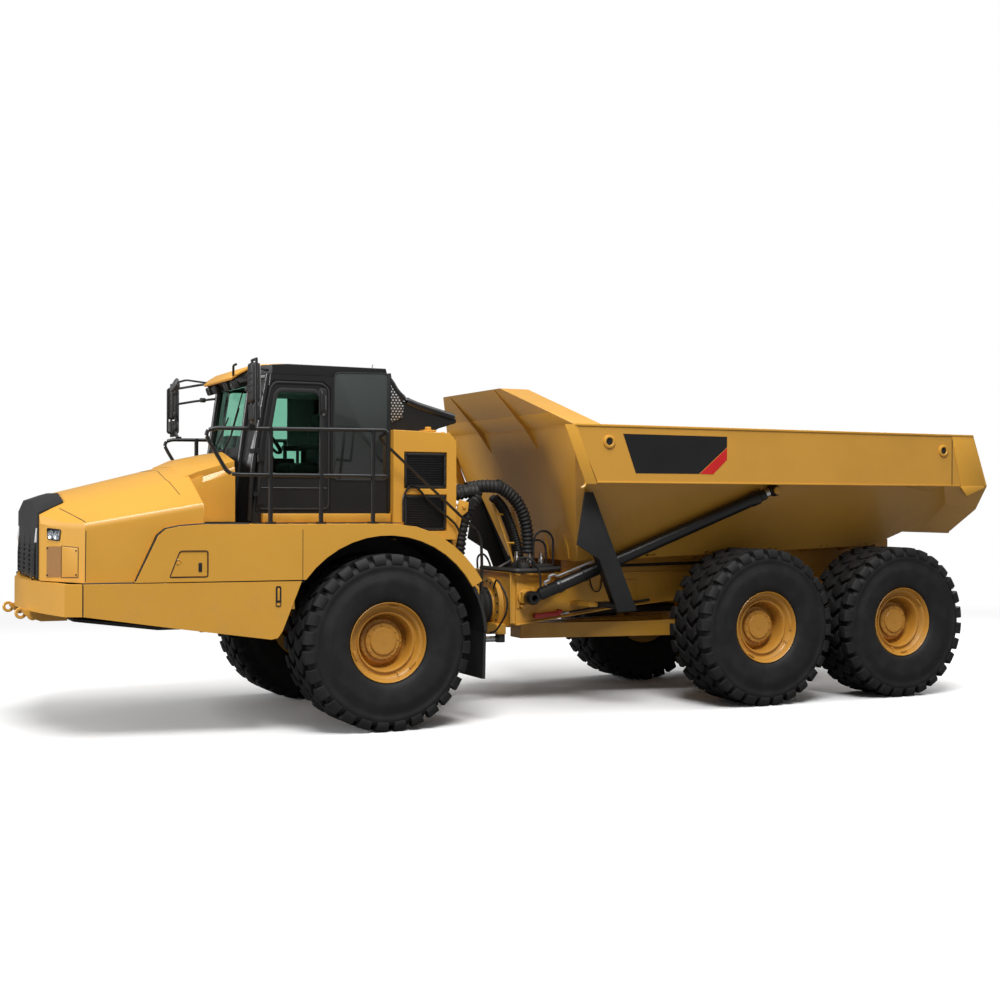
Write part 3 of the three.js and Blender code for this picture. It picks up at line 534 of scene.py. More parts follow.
hoseRubber = mouldedPlastic("hoseRubber", rgb(0.009, 0.009, 0.009), rgb(0.018, 0.018, 0.018), 0.6, 500.0)
darkIron = castIron("darkIron", rgb(0.02, 0.019, 0.018), rgb(0.045, 0.043, 0.04))
cabGlass = tintedGlass("cabGlass", (0.42, 0.68, 0.57, 1.0))
# the quarter pane's finish: painted shade with a painted sheen towards the top
paintedSheenGlass = smokedPane()
lampGlass = tintedGlass("lampGlass", (0.75, 0.78, 0.8, 1.0), 0.04)
rodSteel = brightSteel()
seatCloth = wovenCloth()
print("finishes made")

# Camera, lights and floor
view = {"place": (7.4975, 15.3735, 2.314), "towards": (-0.4295, -0.9030, 0.0007), "lens": 52.7,
        "roll": 0.0038}
camera = bpy.data.objects.new("camera", bpy.data.cameras.new("camera"))
bpy.context.scene.collection.objects.link(camera)
camera.data.lens = view["lens"]
camera.location = view["place"]
aim = Vector(view["towards"]).to_track_quat("-Z", "Y").to_matrix() @ Matrix.Rotation(view["roll"], 3, "Z")
camera.rotation_euler = aim.to_euler()
bpy.context.scene.camera = camera

studio = {"floor": 120, "world": 0.26, "key": 5800, "top": 1700, "front": 6400, "back": 620,
          "bounce": 0.2}
pickNothing()
bpy.ops.mesh.primitive_plane_add(size=studio["floor"], location=(0, 0, -0.002))
floor = settle(bpy.context.object)
floor.name = "floor"


def paleFloor():
    graph = Graph("paleFloor")
    tree = graph.tree
    path = tree.nodes.new("ShaderNodeLightPath")
    camera = Wire(graph, path.outputs["Is Camera Ray"])
    bounce = rgb(*(studio["bounce"],) * 3)  # what the floor throws back on the machine
    graph.build(Base_Color=graph.mixed(camera, bounce, rgb(0.97, 0.97, 0.97)), Roughness=0.8)
    glow = tree.nodes.new("ShaderNodeEmission")
    glow.inputs["Strength"].default_value = 1.0
    far = graph.add("ShaderNodeVectorMath", {"operation": "LENGTH"}, graph.place(),
                    output="Value").between(9.0, 20.0)
    seen = (camera + Wire(graph, path.outputs["Is Transmission Ray"])).clamped()
    mix = tree.nodes.new("ShaderNodeMixShader")
    graph.connect(far * seen, mix.inputs[0])
    tree.links.new(graph.shader.outputs[0], mix.inputs[1])
    tree.links.new(glow.outputs[0], mix.inputs[2])
    tree.links.new(mix.outputs[0], tree.nodes["Material Output"].inputs[0])
    return graph.material


floor.data.materials.append(paleFloor())
world = bpy.data.worlds.new("studioWorld")
bpy.context.scene.world = world
world.use_nodes = True
tree = world.node_tree
plain = tree.nodes["Background"]
plain.inputs[0].default_value = (1, 1, 1, 1)
plain.inputs[1].default_value = studio["world"]
shown = tree.nodes.new("ShaderNodeBackground")
shown.inputs[0].default_value = (1, 1, 1, 1)
path = tree.nodes.new("ShaderNodeLightPath")
either = tree.nodes.new("ShaderNodeMath")
either.operation = "MAXIMUM"
tree.links.new(path.outputs["Is Camera Ray"], either.inputs[0])
tree.links.new(path.outputs["Is Transmission Ray"], either.inputs[1])
blendWorld = tree.nodes.new("ShaderNodeMixShader")
tree.links.new(either.outputs[0], blendWorld.inputs[0])
tree.links.new(plain.outputs[0], blendWorld.inputs[1])
tree.links.new(shown.outputs[0], blendWorld.inputs[2])
tree.links.new(blendWorld.outputs[0], tree.nodes["World Output"].inputs[0])
bpy.context.scene.view_settings.view_transform = "Standard"


def softLamp(name, place, target, size, power):
    lamp = bpy.data.objects.new(name, bpy.data.lights.new(name, "AREA"))
    bpy.context.scene.collection.objects.link(lamp)
    lamp.data.shape = "RECTANGLE"
    lamp.data.size, lamp.data.size_y = size
    lamp.data.energy = power
    lamp.location = place
    lamp.rotation_euler = (Vector(target) - Vector(place)).to_track_quat("-Z", "Y").to_euler()
    return lamp


softLamp("keyLamp", (7, 16, 22), (0, 0, 1.5), (12, 7), studio["key"])
softLamp("topLamp", (-2, 3, 15), (-1, 0, 1), (16, 8), studio["top"])
softLamp("frontLamp", (30, -2, 12), (1, 0, 2.2), (10, 8), studio["front"])
softLamp("backLamp", (-13, -6, 9), (-2, 0, 2), (8, 5), studio["back"])
print("camera and studio made")


# Wheels: a carcass with ringed walls, chevron and shoulder lugs, and a stepped rim with a bolted hub
tyre = {"pitches": 28, "outer": wheelHeight, "half": 0.37, "bead": 0.4075}
rim = {"flange": 0.408, "seat": 0.317, "lip": 0.297, "hub": 0.228, "cover": 0.142, "bolts": 12}


def bent(pieces, name):  # a flat row of blocks along x, bent into a ring about y with z as the radius
    strip = joined(name, pieces)
    turnRate = 1 / tyre["outer"]
    mesh = strip.data
    for vertex in mesh.vertices:
        x, y, z = vertex.co
        angle = x * turnRate
        vertex.co = (z * math.sin(angle), y, z * math.cos(angle))
    return strip


def makeLug(outline, low, slope=None):
    lug = plate([(x, y, low) for x, y in outline], (0, 0, tyre["outer"] - low), 0, name="lug")
    if slope:
        editMode(lug)
        point, away = slope
        bpy.ops.mesh.bisect(plane_co=point, plane_no=away, use_fill=True, clear_outer=True)
        objectMode()
    editMode(lug)
    for cut in (-0.06, -0.02, 0.02, 0.06):
        bpy.ops.mesh.select_all(action="SELECT")
        bpy.ops.mesh.bisect(plane_co=(cut, 0, 0), plane_no=(1, 0, 0))
    bpy.ops.mesh.select_all(action="SELECT")
    bpy.ops.mesh.normals_make_consistent(inside=False)
    objectMode()
    roundEdges(lug, 0.006, 2, 40)
    return lug


def makeTyre():
    outer, half, bead = tyre["outer"], tyre["half"], tyre["bead"]
    side = [(bead - 0.089, 0.186), (0.333, 0.192), (0.356, 0.197), (0.361, 0.21), (0.366, 0.238),
            (0.382, 0.246), (0.397, 0.26), (0.405, 0.29), (0.411, 0.304), (0.418, 0.318), (0.4375, 0.336),
            (0.475, 0.35), (0.53, 0.3625), (0.6, 0.369), (0.655, 0.3695), (0.662, 0.3655), (0.69, 0.366),
            (0.697, 0.3625), (0.74, 0.359), (0.747, 0.363), (0.775, 0.361), (0.795, 0.3545), (0.815, 0.341),
            (0.83, 0.318), (0.84, 0.28), (0.846, 0.15)]
    profile = [(r, -y) for r, y in side] + [(r, y) for r, y in reversed(side)] + [(side[0][0], -side[0][1])]
    carcass = turned(profile, (0, 0, 0), steps=96, name="carcass")
    shoulder = makeLug([(-0.066, 0.367), (0.066, 0.367), (0.07, 0.262), (0.012, 0.214), (-0.07, 0.262)], 0.79,
                       ((0, 0.338, outer), (0, 0.8, 0.42)))
    chevron = makeLug([(-0.104, 0.2), (-0.03, 0.104), (-0.104, 0.01), (0.034, 0.01), (0.108, 0.104),
                       (0.034, 0.2)], 0.835)
    pitch = tau * outer / tyre["pitches"]
    blocks = []
    for index in range(tyre["pitches"]):
        for piece, shift in ((shoulder, 0.0), (chevron, 0.46)):
            for sign in (1, -1):
                offset = pitch * (index + shift + (0.5 if sign < 0 else 0.0))
                matrix = Matrix.Translation((offset, 0, 0)) @ Matrix.Diagonal((1, sign, 1, 1))
                blocks.append(copied(piece, "lug", matrix))
    for piece in (shoulder, chevron):
        bpy.data.objects.remove(piece)
    tread = bent(blocks, "tread")
    whole = joined("tyre", [carcass, tread])
    smooth(whole, 38)
    return whole


def makeRim():
    flange, seat, lip, hub, cover = (rim[key] for key in ("flange", "seat", "lip", "hub", "cover"))
    plug = [(0.0, 0.166), (0.022, 0.166), (0.026, 0.172), (0.0, 0.1721)]
    face = [(0.0, 0.168), (cover - 0.012, 0.168), (cover - 0.004, 0.16), (cover, 0.147), (0.178, 0.144),
            (0.184, 0.138), (0.186, 0.105), (hub - 0.008, 0.1), (hub, 0.088), (hub + 0.004, 0.05),
            (0.262, 0.034), (0.273, 0.045), (0.278, 0.19), (0.285, 0.222), (0.292, 0.235), (0.302, 0.238),
            (0.309, 0.23), (0.312, 0.218), (0.335, 0.214), (0.343, 0.222), (0.35, 0.25), (0.362, 0.262),
            (0.378, 0.268), (0.387, 0.285), (0.394, 0.31), (0.401, 0.317), (flange - 0.0005, 0.312),]
    hook = [(0.4072, 0.302), (0.401, 0.29), (0.393, 0.262), (0.38, 0.25), (0.362, 0.242), (0.357, 0.21),
            (0.35, 0.2), (0.33, 0.196), (seat, 0.19)]
    inboard = [(r, -y) for r, y in reversed(hook)]
    back = [(flange - 0.0005, -0.312), (0.398, -0.317), (0.31, -0.31), (lip, -0.3), (lip, 0.0), (0.24, -0.01),
            (0.22, -0.079), (0.0, -0.079)]
    parts = [turned(face + hook + inboard + back, (0, 0, 0), steps=72, name="dish"),
             turned(plug[::-1], (0, 0, 0), steps=20, name="plug")]
    parts.append(boltRing((0, 0.142, 0), 0.164, (0, 1, 0), rim["bolts"], 0.011, 0.012))
    parts.append(boltRing((0, 0.165, 0), 0.112, (0, 1, 0), 10, 0.006, 0.007, 0.2))
    parts.append(boltRing((0, 0.097, 0), 0.207, (0, 1, 0), 24, 0.0085, 0.014, 0.1))
    valve = tube([(0.0, 0.24, 0.322), (0.0, 0.275, 0.33), (0.0, 0.29, 0.345)], 0.006, 0.01, 8)
    locks = []
    for index in range(3):
        angle = tau * index / 3 + 0.5
        lock = block((-0.045, 0.262, 0.35), (0.045, 0.279, 0.372), 0.004)
        lock.data.transform(Matrix.Rotation(angle, 4, "Y"))
        locks.append(lock)
    whole = joined("rim", parts + [valve] + locks)
    smooth(whole, 35)
    return whole


firstTyre, firstRim = makeTyre(), makeRim()
for axle in ("front", "middle", "rear"):
    for side, sign in (("left", 1), ("right", -1)):
        low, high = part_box(f"tyre_{axle}_{side}")
        centre = Matrix.Translation(((low.x + high.x) / 2, (low.y + high.y) / 2, tyre["outer"]))
        turn = Matrix.Diagonal((1, sign, 1, 1)) @ Matrix.Rotation(0.7 * len(axle), 4, "Y")
        body = f"wheel_{axle}_{side}"
        finishPiece(copied(firstTyre, "tyre", centre @ turn), f"treadedTyre.{axle}.{side}", tyreBlack, body,
                    "tyre", f"tyre_{axle}_{side}")
        finishPiece(copied(firstRim, "rim", centre @ turn), f"steppedRim.{axle}.{side}", rimPaint, body,
                    "yellow_paint", f"rim_{axle}_{side}")
bpy.data.objects.remove(firstTyre)
bpy.data.objects.remove(firstRim)
print("wheels made")


# Working on surfaces: rounded outlines, flat places on a panel, and routes laid on a skin
bodyOf = {node: body for body, members in frame["record"]["behaviour"]["bodies"].items() for node in members}
slotOf = {row["node"]: row["material_slot"] for row in frame["record"]["subparts"]}


def rounded(outline, radius, steps=4):  # the outline with its corners rounded off
    result = []
    for index, corner in enumerate(outline):
        corner = Vector(corner)
        before = Vector(outline[index - 1]) - corner
        after = Vector(outline[(index + 1) % len(outline)]) - corner
        reach = min(radius, before.length * 0.45, after.length * 0.45)
        start, end = corner + before.normalized() * reach, corner + after.normalized() * reach
        for step in range(steps + 1):
            t = step / steps
            result.append(tuple(start * (1 - t) ** 2 + corner * (2 * t * (1 - t)) + end * t ** 2))
    return result


def roundedBox(left, low, right, high, radius):
    return rounded([(left, low), (right, low), (right, high), (left, high)], radius)


def circle(count, start=0.0):  # the turns of evenly spaced places round a ring
    return [start + tau * index / count for index in range(count)]


def boltRow(places, axis, size):
    axis = Vector(axis)
    first = disc((0, 0, 0), size, axis, size * 0.7, size * 0.2, 6)
    bolts = [copied(first, "bolt", Matrix.Translation(place)) for place in places]
    bpy.data.objects.remove(first)
    return bolts


class Face:  # u runs along the panel, v up it, and n out of it
    def __init__(self, origin, along, upward=(0, 0, 1)):
        self.origin = Vector(origin)
        self.u = Vector(along).normalized()
        self.n = self.u.cross(Vector(upward)).normalized()
        self.v = self.n.cross(self.u)

    def at(self, u, v, n=0.0):
        return self.origin + self.u * u + self.v * v + self.n * n

    def plate(self, outline, low, high, width=0.002, segments=2, name="plate"):
        return plate([self.at(u, v, low) for u, v in outline], self.n * (high - low), width, segments, name)

    def frame(self, outline, thick, low, high, width=0.002, name="frame"):  # the rim of an outline
        piece = chain([self.at(u, v, low) for u, v in outline], name)
        editMode(piece)
        bpy.ops.mesh.edge_face_add()
        bpy.ops.mesh.inset(thickness=thick, depth=0)
        bpy.ops.mesh.delete(type="ONLY_FACE")
        bpy.ops.mesh.select_all(action="SELECT")
        bpy.ops.mesh.extrude_region_move(TRANSFORM_OT_translate={"value": self.n * (high - low)})
        bpy.ops.mesh.select_all(action="SELECT")
        bpy.ops.mesh.normals_make_consistent(inside=False)
        objectMode()
        return roundEdges(piece, width, 2) if width else piece

    def disc(self, u, v, radius, low, high, width=0.002, sides=24):
        return disc(self.at(u, v, low), radius, self.n, high - low, width, sides)

    def bolts(self, places, size=0.011, low=0.0, high=0.008):
        return [self.disc(u, v, size, low, high, size * 0.2, 6) for u, v in places]

    def tube(self, points, radius, bend=0.02, sides=8, name="tube"):
        return tube([self.at(*point) for point in points], radius, bend, sides, name)


def laidOn(target, points, direction, lift, step=0.06):  # drops a route onto a skin
    direction = Vector(direction).normalized()
    dense = []
    for first, last in zip(points, points[1:]):
        first, last = Vector(first), Vector(last)
        count = max(1, round((last - first).length / step))
        dense += [first.lerp(last, index / count) for index in range(count)]
    dense.append(Vector(points[-1]))
    placed = []
    for point in dense:
        found, place, normal, _ = target.ray_cast(point - direction * 0.5, direction)
        if found and (place - point).length < 0.45:
            placed.append(place + normal * lift)
    return placed


# the dark line of a joint
def seam(target, points, direction, name, body, radius=0.0035, lift=0.0, both=True):
    line = tube(laidOn(target, points, direction, lift), radius, 0, 6, name)
    finishPiece(line, name, blackPlastic, body, "plastic")
    if both:
        finishPiece(mirroredY(line, name), name + ".right", blackPlastic, body, "plastic")


def bothSides(piece, name, material, body, slot):
    finishPiece(piece, name + ".left", material, body, slot)
    finishPiece(mirroredY(piece, name), name + ".right", material, body, slot)


def corrugated(points, radius, ridge, pitch, name):  # a ribbed sleeve pushed along a smooth route
    guide = chain(points, name + "Guide")
    editMode(guide)
    mesh = bmesh.from_edit_mesh(guide.data)
    for vertex in mesh.verts:
        vertex.select = len(vertex.link_edges) == 2
    bmesh.update_edit_mesh(guide.data)
    bpy.ops.mesh.bevel(offset=0.09, segments=6, affect="VERTICES")
    objectMode()
    pick(guide)
    bpy.ops.object.convert(target="CURVE")
    guide = bpy.context.object
    length = sum(spline.calc_length() for spline in guide.data.splines)
    count = max(4, round(length / pitch))
    step = length / count
    profile = [(0.0, 0.0), (radius * 0.8, 0.0)]
    for index in range(count):
        start = index * step
        profile += [(radius, start + step * 0.15), (radius + ridge, start + step * 0.35),
                    (radius + ridge, start + step * 0.65), (radius, start + step * 0.85)]
    profile += [(radius * 0.8, length), (0.0, length)]
    sleeve = turned(profile, (0, 0, 0), (1, 0, 0), 20, name)
    modifier = sleeve.modifiers.new("follow", "CURVE")
    modifier.object = guide
    modifier.deform_axis = "POS_X"
    pick(sleeve)
    bpy.ops.object.modifier_apply(modifier=modifier.name)
    bpy.data.objects.remove(guide)
    smooth(sleeve, 60)
    return sleeve


# CAD parts that keep their shape get rounded edges and one skin each
softEdges = {"hood": 0.026, "grille": 0.016, "bumper": 0.012, "side_skirt_left": 0.006,
             "side_skirt_right": 0.006, "fender_left": 0.012, "fender_right": 0.012, "service_door": 0.004,
             "cab_roof": 0.022, "cab_shell": 0.008, "cab_door": 0.006, "exhaust_shroud": 0.02,
             "cooling_tower": 0.01, "mirror_left": 0.012, "mirror_right": 0.012, "dump_body": 0.006,
             "rear_frame": 0.005, "hitch": 0.008, "front_frame": 0.005, "front_axle": 0.008,
             "middle_axle": 0.008, "rear_axle": 0.008, "bogie_beams": 0.008, "mudflap_left": 0.003,
             "mudflap_right": 0.003, "driver_console": 0.008, "engine_block": 0.01,
             "steering_barrel_left": 0.004, "steering_barrel_right": 0.004, "steering_rod_left": 0.003,
             "steering_rod_right": 0.003}
plainNodes = {"yellow_paint": machinePaint, "black_paint": blackPaint, "dark_iron": darkIron,
              "tyre": tyreBlack, "rubber": hoseRubber, "plastic": blackPlastic, "seat_cloth": seatCloth,
              "glass": cabGlass, "rod_steel": rodSteel}
skins = {}
for name, width in softEdges.items():
    skin = softened(name, width)
    material = bedPaint if name == "dump_body" else plainNodes[slotOf[name]]
    if name.startswith("steering_rod"):
        material = darkIron
    skins[name] = finishPiece(skin, "skin." + name, material, bodyOf[name], slotOf[name], name)
print("rounded skins made")

# Nose: grille slats, lamps, vent panels and the seams of the hood
nose = {"slats": 11, "low": 1.6, "high": 2.06, "half": 0.56, "front": 5.46}
slats = []
for index in range(nose["slats"]):
    z = nose["low"] + (nose["high"] - nose["low"]) * index / (nose["slats"] - 1)
    lean = max(0.0, (z - 1.8) * 0.145)
    slat = block((-0.014, -nose["half"], -0.007), (0.016, nose["half"], 0.007), 0.003, 2, "slat")
    slat.data.transform(Matrix.Translation((nose["front"] + 0.002 - lean, 0,
                                            z)) @ Matrix.Rotation(0.5, 4, "Y"))
    slats.append(slat)
for y in (-0.57, -0.19, 0.19, 0.57):
    slats.append(tube([(nose["front"] + 0.012, y, 1.575), (nose["front"] + 0.012, y, 1.8),
                       (nose["front"] - 0.022, y, 2.09)], 0.012, 0.05, 8, "upright"))
assemble("grilleSlats", slats, blackPlastic, "hood", "plastic")
frontField = Face((nose["front"] + 0.001, 0, 1.55), (0, 1, 0))
finishPiece(frontField.plate(roundedBox(-0.6, 0.02, 0.6, 0.25, 0.03), 0, 0.004), "grilleField",
            decalFilm, "hood", "plastic")
marker = Face((5.472, 0.62, 1.895), (0, 1, 0), (-0.1, 0, 1))
bothSides(marker.plate(roundedBox(0.0, 0.0, 0.045, 0.14, 0.006), -0.012, 0.006), "markerPlate",
          whitePaint, "hood", "plastic")

cheek = Face((5.3, 1.13, 1.535), (-0.16, 0.32, 0))  # from the corner back towards the side
brow = Face((5.4455, 0.83, 1.535), (-0.1455, 0.3, 0))  # from the grille out to the corner
browLength = (Vector((5.3, 1.13)) - Vector((5.4455, 0.83))).length
lamp = {"in": 0.125, "out": 0.325, "low": 0.385, "high": 0.495}
lampShape = rounded([(lamp["in"], lamp["low"] + 0.012), (lamp["out"] - 0.02, lamp["low"]),
                     (lamp["out"], lamp["high"]), (lamp["in"] - 0.012, lamp["high"] + 0.012)], 0.016)
bezel = brow.frame(lampShape, 0.012, 0.0, 0.012)
bothSides(bezel, "lampBezel", blackPlastic, "hood", "plastic")
bothSides(brow.plate(lampShape, -0.002, 0.003, 0), "lampField", greyPlastic, "hood", "plastic")
bowls = []
for u, v, size in ((0.172, 0.442, 0.042), (0.266, 0.438, 0.042)):
    bowls.append(turned([(0.0, 0.004), (size * 0.3, 0.0045), (size * 0.75, 0.009), (size, 0.0125),
                         (size * 1.08, 0.0095), (size * 1.1, 0.0)], brow.at(u, v), brow.n, 24, "bowl"))
    bowls.append(brow.disc(u, v, size * 0.28, 0.004, 0.012, 0.002, 12))
bothSides(joined("lampBowls", bowls), "lampBowls", rodSteel, "hood", "rod_steel")
bothSides(brow.plate(lampShape, 0.0125, 0.0155, 0.001), "lampCover", lampGlass, "hood", "glass")

vent = {"low": 0.045, "high": 0.335, "far": 0.255}
screen = rounded([(browLength - 0.235, vent["low"] - 0.01), (browLength - 0.006, vent["low"]),
                  (browLength - 0.006, vent["high"]), (browLength - 0.235, vent["high"] - 0.006)], 0.008)
bothSides(brow.plate(screen, 0.0, 0.003, 0), "ventScreen", rustMesh, "hood", "dark_iron")
cover = rounded([(0.01, vent["low"]), (vent["far"], vent["low"] + 0.012), (vent["far"], vent["high"] - 0.012),
                 (0.01, vent["high"])], 0.012)
bothSides(cheek.frame([(0.0, vent["low"] - 0.008), (vent["far"] + 0.008, vent["low"] + 0.002),
                       (vent["far"] + 0.008, vent["high"] - 0.004), (0.0, vent["high"] + 0.008)], 0.005,
                      0.0, 0.0025, 0), "ventGap", blackPlastic, "hood", "plastic")
bothSides(cheek.plate(cover, 0.0, 0.005, 0.002), "ventCover", machinePaint, "hood", "yellow_paint")
studs = cheek.bolts([(vent["far"] - 0.02, vent["low"] + 0.03), (vent["far"] - 0.02, vent["high"] - 0.035)],
                    0.009, 0.004, 0.012)
studs += brow.bolts([(browLength - 0.222, vent["low"] + 0.012), (browLength - 0.222, vent["high"] - 0.02)],
                    0.009, 0.0, 0.012)
bothSides(joined("ventStuds", studs), "ventStuds", blackPaint, "hood", "black_paint")

skin = skins["hood"]
seam(skin, [(5.135, 1.5, 1.55), (5.13, 1.5, 2.02)], (0, -1, 0), "noseSeam.side", "hood", 0.004)
seam(skin, [(5.125, 1.4, 2.2), (5.16, 1.25, 2.2), (5.22, 1.0, 2.3), (5.27, 0.8, 2.3)], (0, 0, -1),
     "noseSeam.top", "hood", 0.004)
seam(skin, [(4.2, 1.2, 2.6), (4.25, 0.8, 2.8), (4.25, 0.0, 2.9)], (0, 0, -1), "hoodPanelSeam", "hood", 0.003)
edge = [(4.69, 1.534), (4.485, 1.972), (4.41, 2.032), (4.285, 2.058), (4.05, 2.076), (3.62, 2.076)]
route = [(x, 1.64 - 0.06875 * (x - 3.1) - 0.012, z + 0.012) for x, z in edge]
line = tube(route, 0.0075, 0, 8, "fenderSeal")
bothSides(line, "fenderSeal", hoseRubber, "tractor", "rubber")
low = [(5.16, 1.447, 1.53), (4.66, 1.481, 1.53), (4.0, 1.56, 1.529), (3.1, 1.622, 1.529)]
bothSides(tube(low, 0.008, 0, 8, "skirtSeal"), "skirtSeal", hoseRubber, "tractor", "rubber")
bothSides(tube([(5.162, 1.494, 1.235), (5.162, 1.494, 1.52)], 0.0075, 0, 8, "bumperSeal"), "bumperSeal",
          hoseRubber, "tractor", "rubber")
bothSides(tube([(3.094, 1.6405, 1.53), (3.094, 1.6405, 2.03)], 0.003, 0, 6, "fenderJoint"), "fenderJoint",
          blackPlastic, "tractor", "plastic")

# Bumper, skirt and filler door: tow eyes, latches, a lock and the door's seal
for side, name in bothEnds:
    ring = turned([(0.03, -0.019), (0.05, -0.021), (0.056, -0.014), (0.056, 0.014), (0.05, 0.021),
                   (0.03, 0.019), (0.026, 0.0), (0.03, -0.019)], (5.585, side * 0.48, 1.203), (0, 1, 0), 28,
                  "towRing")
    small = turned([(0.02, -0.05), (0.042, -0.051), (0.046, -0.04), (0.046, 0.04), (0.042, 0.051),
                    (0.02, 0.05), (0.02, -0.05)], (5.475, side * 0.48, 1.178), (0, 1, 0), 28, "towBoss")
    assemble("towEyes." + name, [ring, small], machinePaint, "tractor", "yellow_paint")
skirtFace = Face((3.36, 1.62, 1.28), (-1, 0.065, 0))
slot = [skirtFace.frame(roundedBox(0, 0, 0.055, 0.2, 0.02), 0.008, -0.002, 0.004, 0.001),
        skirtFace.plate(roundedBox(0.006, 0.04, 0.049, 0.192, 0.008), -0.002, 0.002, 0)]
bothSides(joined("skirtLatch", slot), "skirtLatch", blackPlastic, "tractor", "plastic")
pull = [skirtFace.plate(roundedBox(0.017, 0.06, 0.038, 0.18, 0.006), 0.0, 0.008),
        skirtFace.disc(0.0275, 0.022, 0.013, 0.0, 0.006)]
bothSides(joined("skirtPull", pull), "skirtPull", machinePaint, "tractor", "yellow_paint")
panel = Face((4.37, 1.5505, 1.585), (-1, 0.06875, 0))
gapShape = rounded([(-0.012, -0.012), (0.362, -0.012), (0.362, 0.249), (0.088, 0.249)], 0.03)
bothSides(panel.frame(gapShape, 0.0085, 0.0, 0.0035, 0.001), "fillerSeal", hoseRubber, "tractor", "rubber")
doorFace = Face((4.37, 1.5435, 1.585), (-1, 0.06875, 0))
latch = [doorFace.plate(roundedBox(0.268, 0.045, 0.302, 0.13, 0.005), 0.0, 0.007),
         doorFace.plate(roundedBox(0.276, 0.055, 0.294, 0.12, 0.004), 0.007, 0.013)]
assemble("fillerLatch", latch, blackPlastic, "service_door", "plastic")
arc = [(0.075 + 0.034 * math.cos(a), 0.128 + 0.034 * math.sin(a), 0.003)
       for a in [math.pi * (0.05 + 0.09 * i) for i in range(10)]]
lock = [doorFace.tube(arc, 0.005, 0), doorFace.disc(0.075, 0.128, 0.014, 0.0, 0.008)]
assemble("fillerLock", lock, machinePaint, "service_door", "yellow_paint")
print("nose and fenders dressed")

# The closing panels behind the hood's raised sides, and the dark walls over the front wheels
shoulder = [(4.028, 0.87, 2.09), (4.028, 1.492, 2.09), (4.028, 1.492, 2.215), (4.028, 1.462, 2.275),
            (4.028, 0.9, 2.535), (4.028, 0.87, 2.535)]
bothSides(plate(shoulder, (0.012, 0, 0), 0.003, 2, "hoodShoulder"), "hoodShoulder", machinePaint, "hood",
          "yellow_paint")
bothSides(sidePlate([(4.06, 2.075), (4.06, 2.5), (3.9, 2.56), (3.9, 2.075)], 0.872, 0.905, 0.003, 2),
          "hoodFlank", machinePaint, "hood", "yellow_paint")
arch = {"centre": (2.2, wheelHeight), "radius": 1.07, "from": 35, "step": 5, "inner": 0.94, "width": 0.67}
archTurns = [math.radians(arch["from"] + arch["step"] * index) for index in range(24)]
archLine = [(arch["centre"][0] + arch["radius"] * math.cos(angle),
             arch["centre"][1] + arch["radius"] * math.sin(angle)) for angle in archTurns]
wall = sidePlate([(3.35, 1.16), (3.3, 2.03), (1.93, 2.03), (1.93, 1.95), (1.2, 1.9), (1.1, 1.3), (1.45, 1.3),
                  (1.5, 1.42), (3.0, 1.42)], 0.905, 0.925, 0.003, 2, "wheelWall")
bothSides(wall, "wheelWall", blackPlastic, "tractor", "plastic")
band = chain([(x, arch["inner"], z) for x, z in archLine], "archLiner")
editMode(band)
bpy.ops.mesh.extrude_region_move(TRANSFORM_OT_translate={"value": (0, arch["width"], 0)})
bpy.ops.mesh.select_all(action="SELECT")
bpy.ops.mesh.normals_make_consistent(inside=False)
objectMode()
addModifier(band, "SOLIDIFY", thickness=0.012, offset=1.0)
smooth(band, 40)
bothSides(band, "archLiner", blackPlastic, "tractor", "plastic")

# Cab: door frame, panes, pillars, visor, lamps, wipers and roof fittings
doorEdge = rounded([(3.345, 2.215), (3.318, 2.86), (3.215, 3.465), (3.16, 3.53), (2.65, 3.53),
                    (2.572, 3.47), (2.572, 2.215)], 0.07)
paneEdge = rounded([(3.285, 2.545), (3.26, 2.9), (3.175, 3.4), (3.12, 3.465), (2.71, 3.465), (2.635, 3.39),
                    (2.635, 2.545)], 0.09)
cabSide = 0.8895
side = Face((0, cabSide, 0), (-1, 0, 0))


def mirrorX(outline):  # an outline in x and z, written along the door's face
    return [(-x, z) for x, z in outline]


finishPiece(side.frame(mirrorX(doorEdge), 0.02, 0.0, 0.012, 0.005), "doorSeal", hoseRubber, "cab_door",
            "rubber")
finishPiece(side.frame(mirrorX(paneEdge), 0.045, 0.0, 0.009, 0.004), "doorPaneFrame", blackPlastic,
            "cab_door", "plastic")
ridge = side.tube([(-3.3, 2.44, 0.004), (-2.6, 2.44, 0.004)], 0.006, 0, 6)
finishPiece(ridge, "doorCrease", blackPaint, "cab_door", "black_paint")
recess = side.plate(roundedBox(-2.69, 3.19, -2.6, 3.475, 0.03), 0.0, 0.01, 0.004)
grip = side.tube([(-2.665, 3.215, 0.01), (-2.665, 3.24, 0.032), (-2.665, 3.42, 0.032),
                  (-2.665, 3.445, 0.01)], 0.011, 0.015, 10)
assemble("doorHandle", [recess, grip], blackPlastic, "cab_door", "plastic")
keyPad = [side.disc(-2.64, 3.2, 0.016, 0.008, 0.016),
          side.plate(roundedBox(-2.625, 3.25, -2.61, 3.4, 0.006), 0.008, 0.016)]
assemble("doorLock", keyPad, greyPlastic, "cab_door", "plastic")
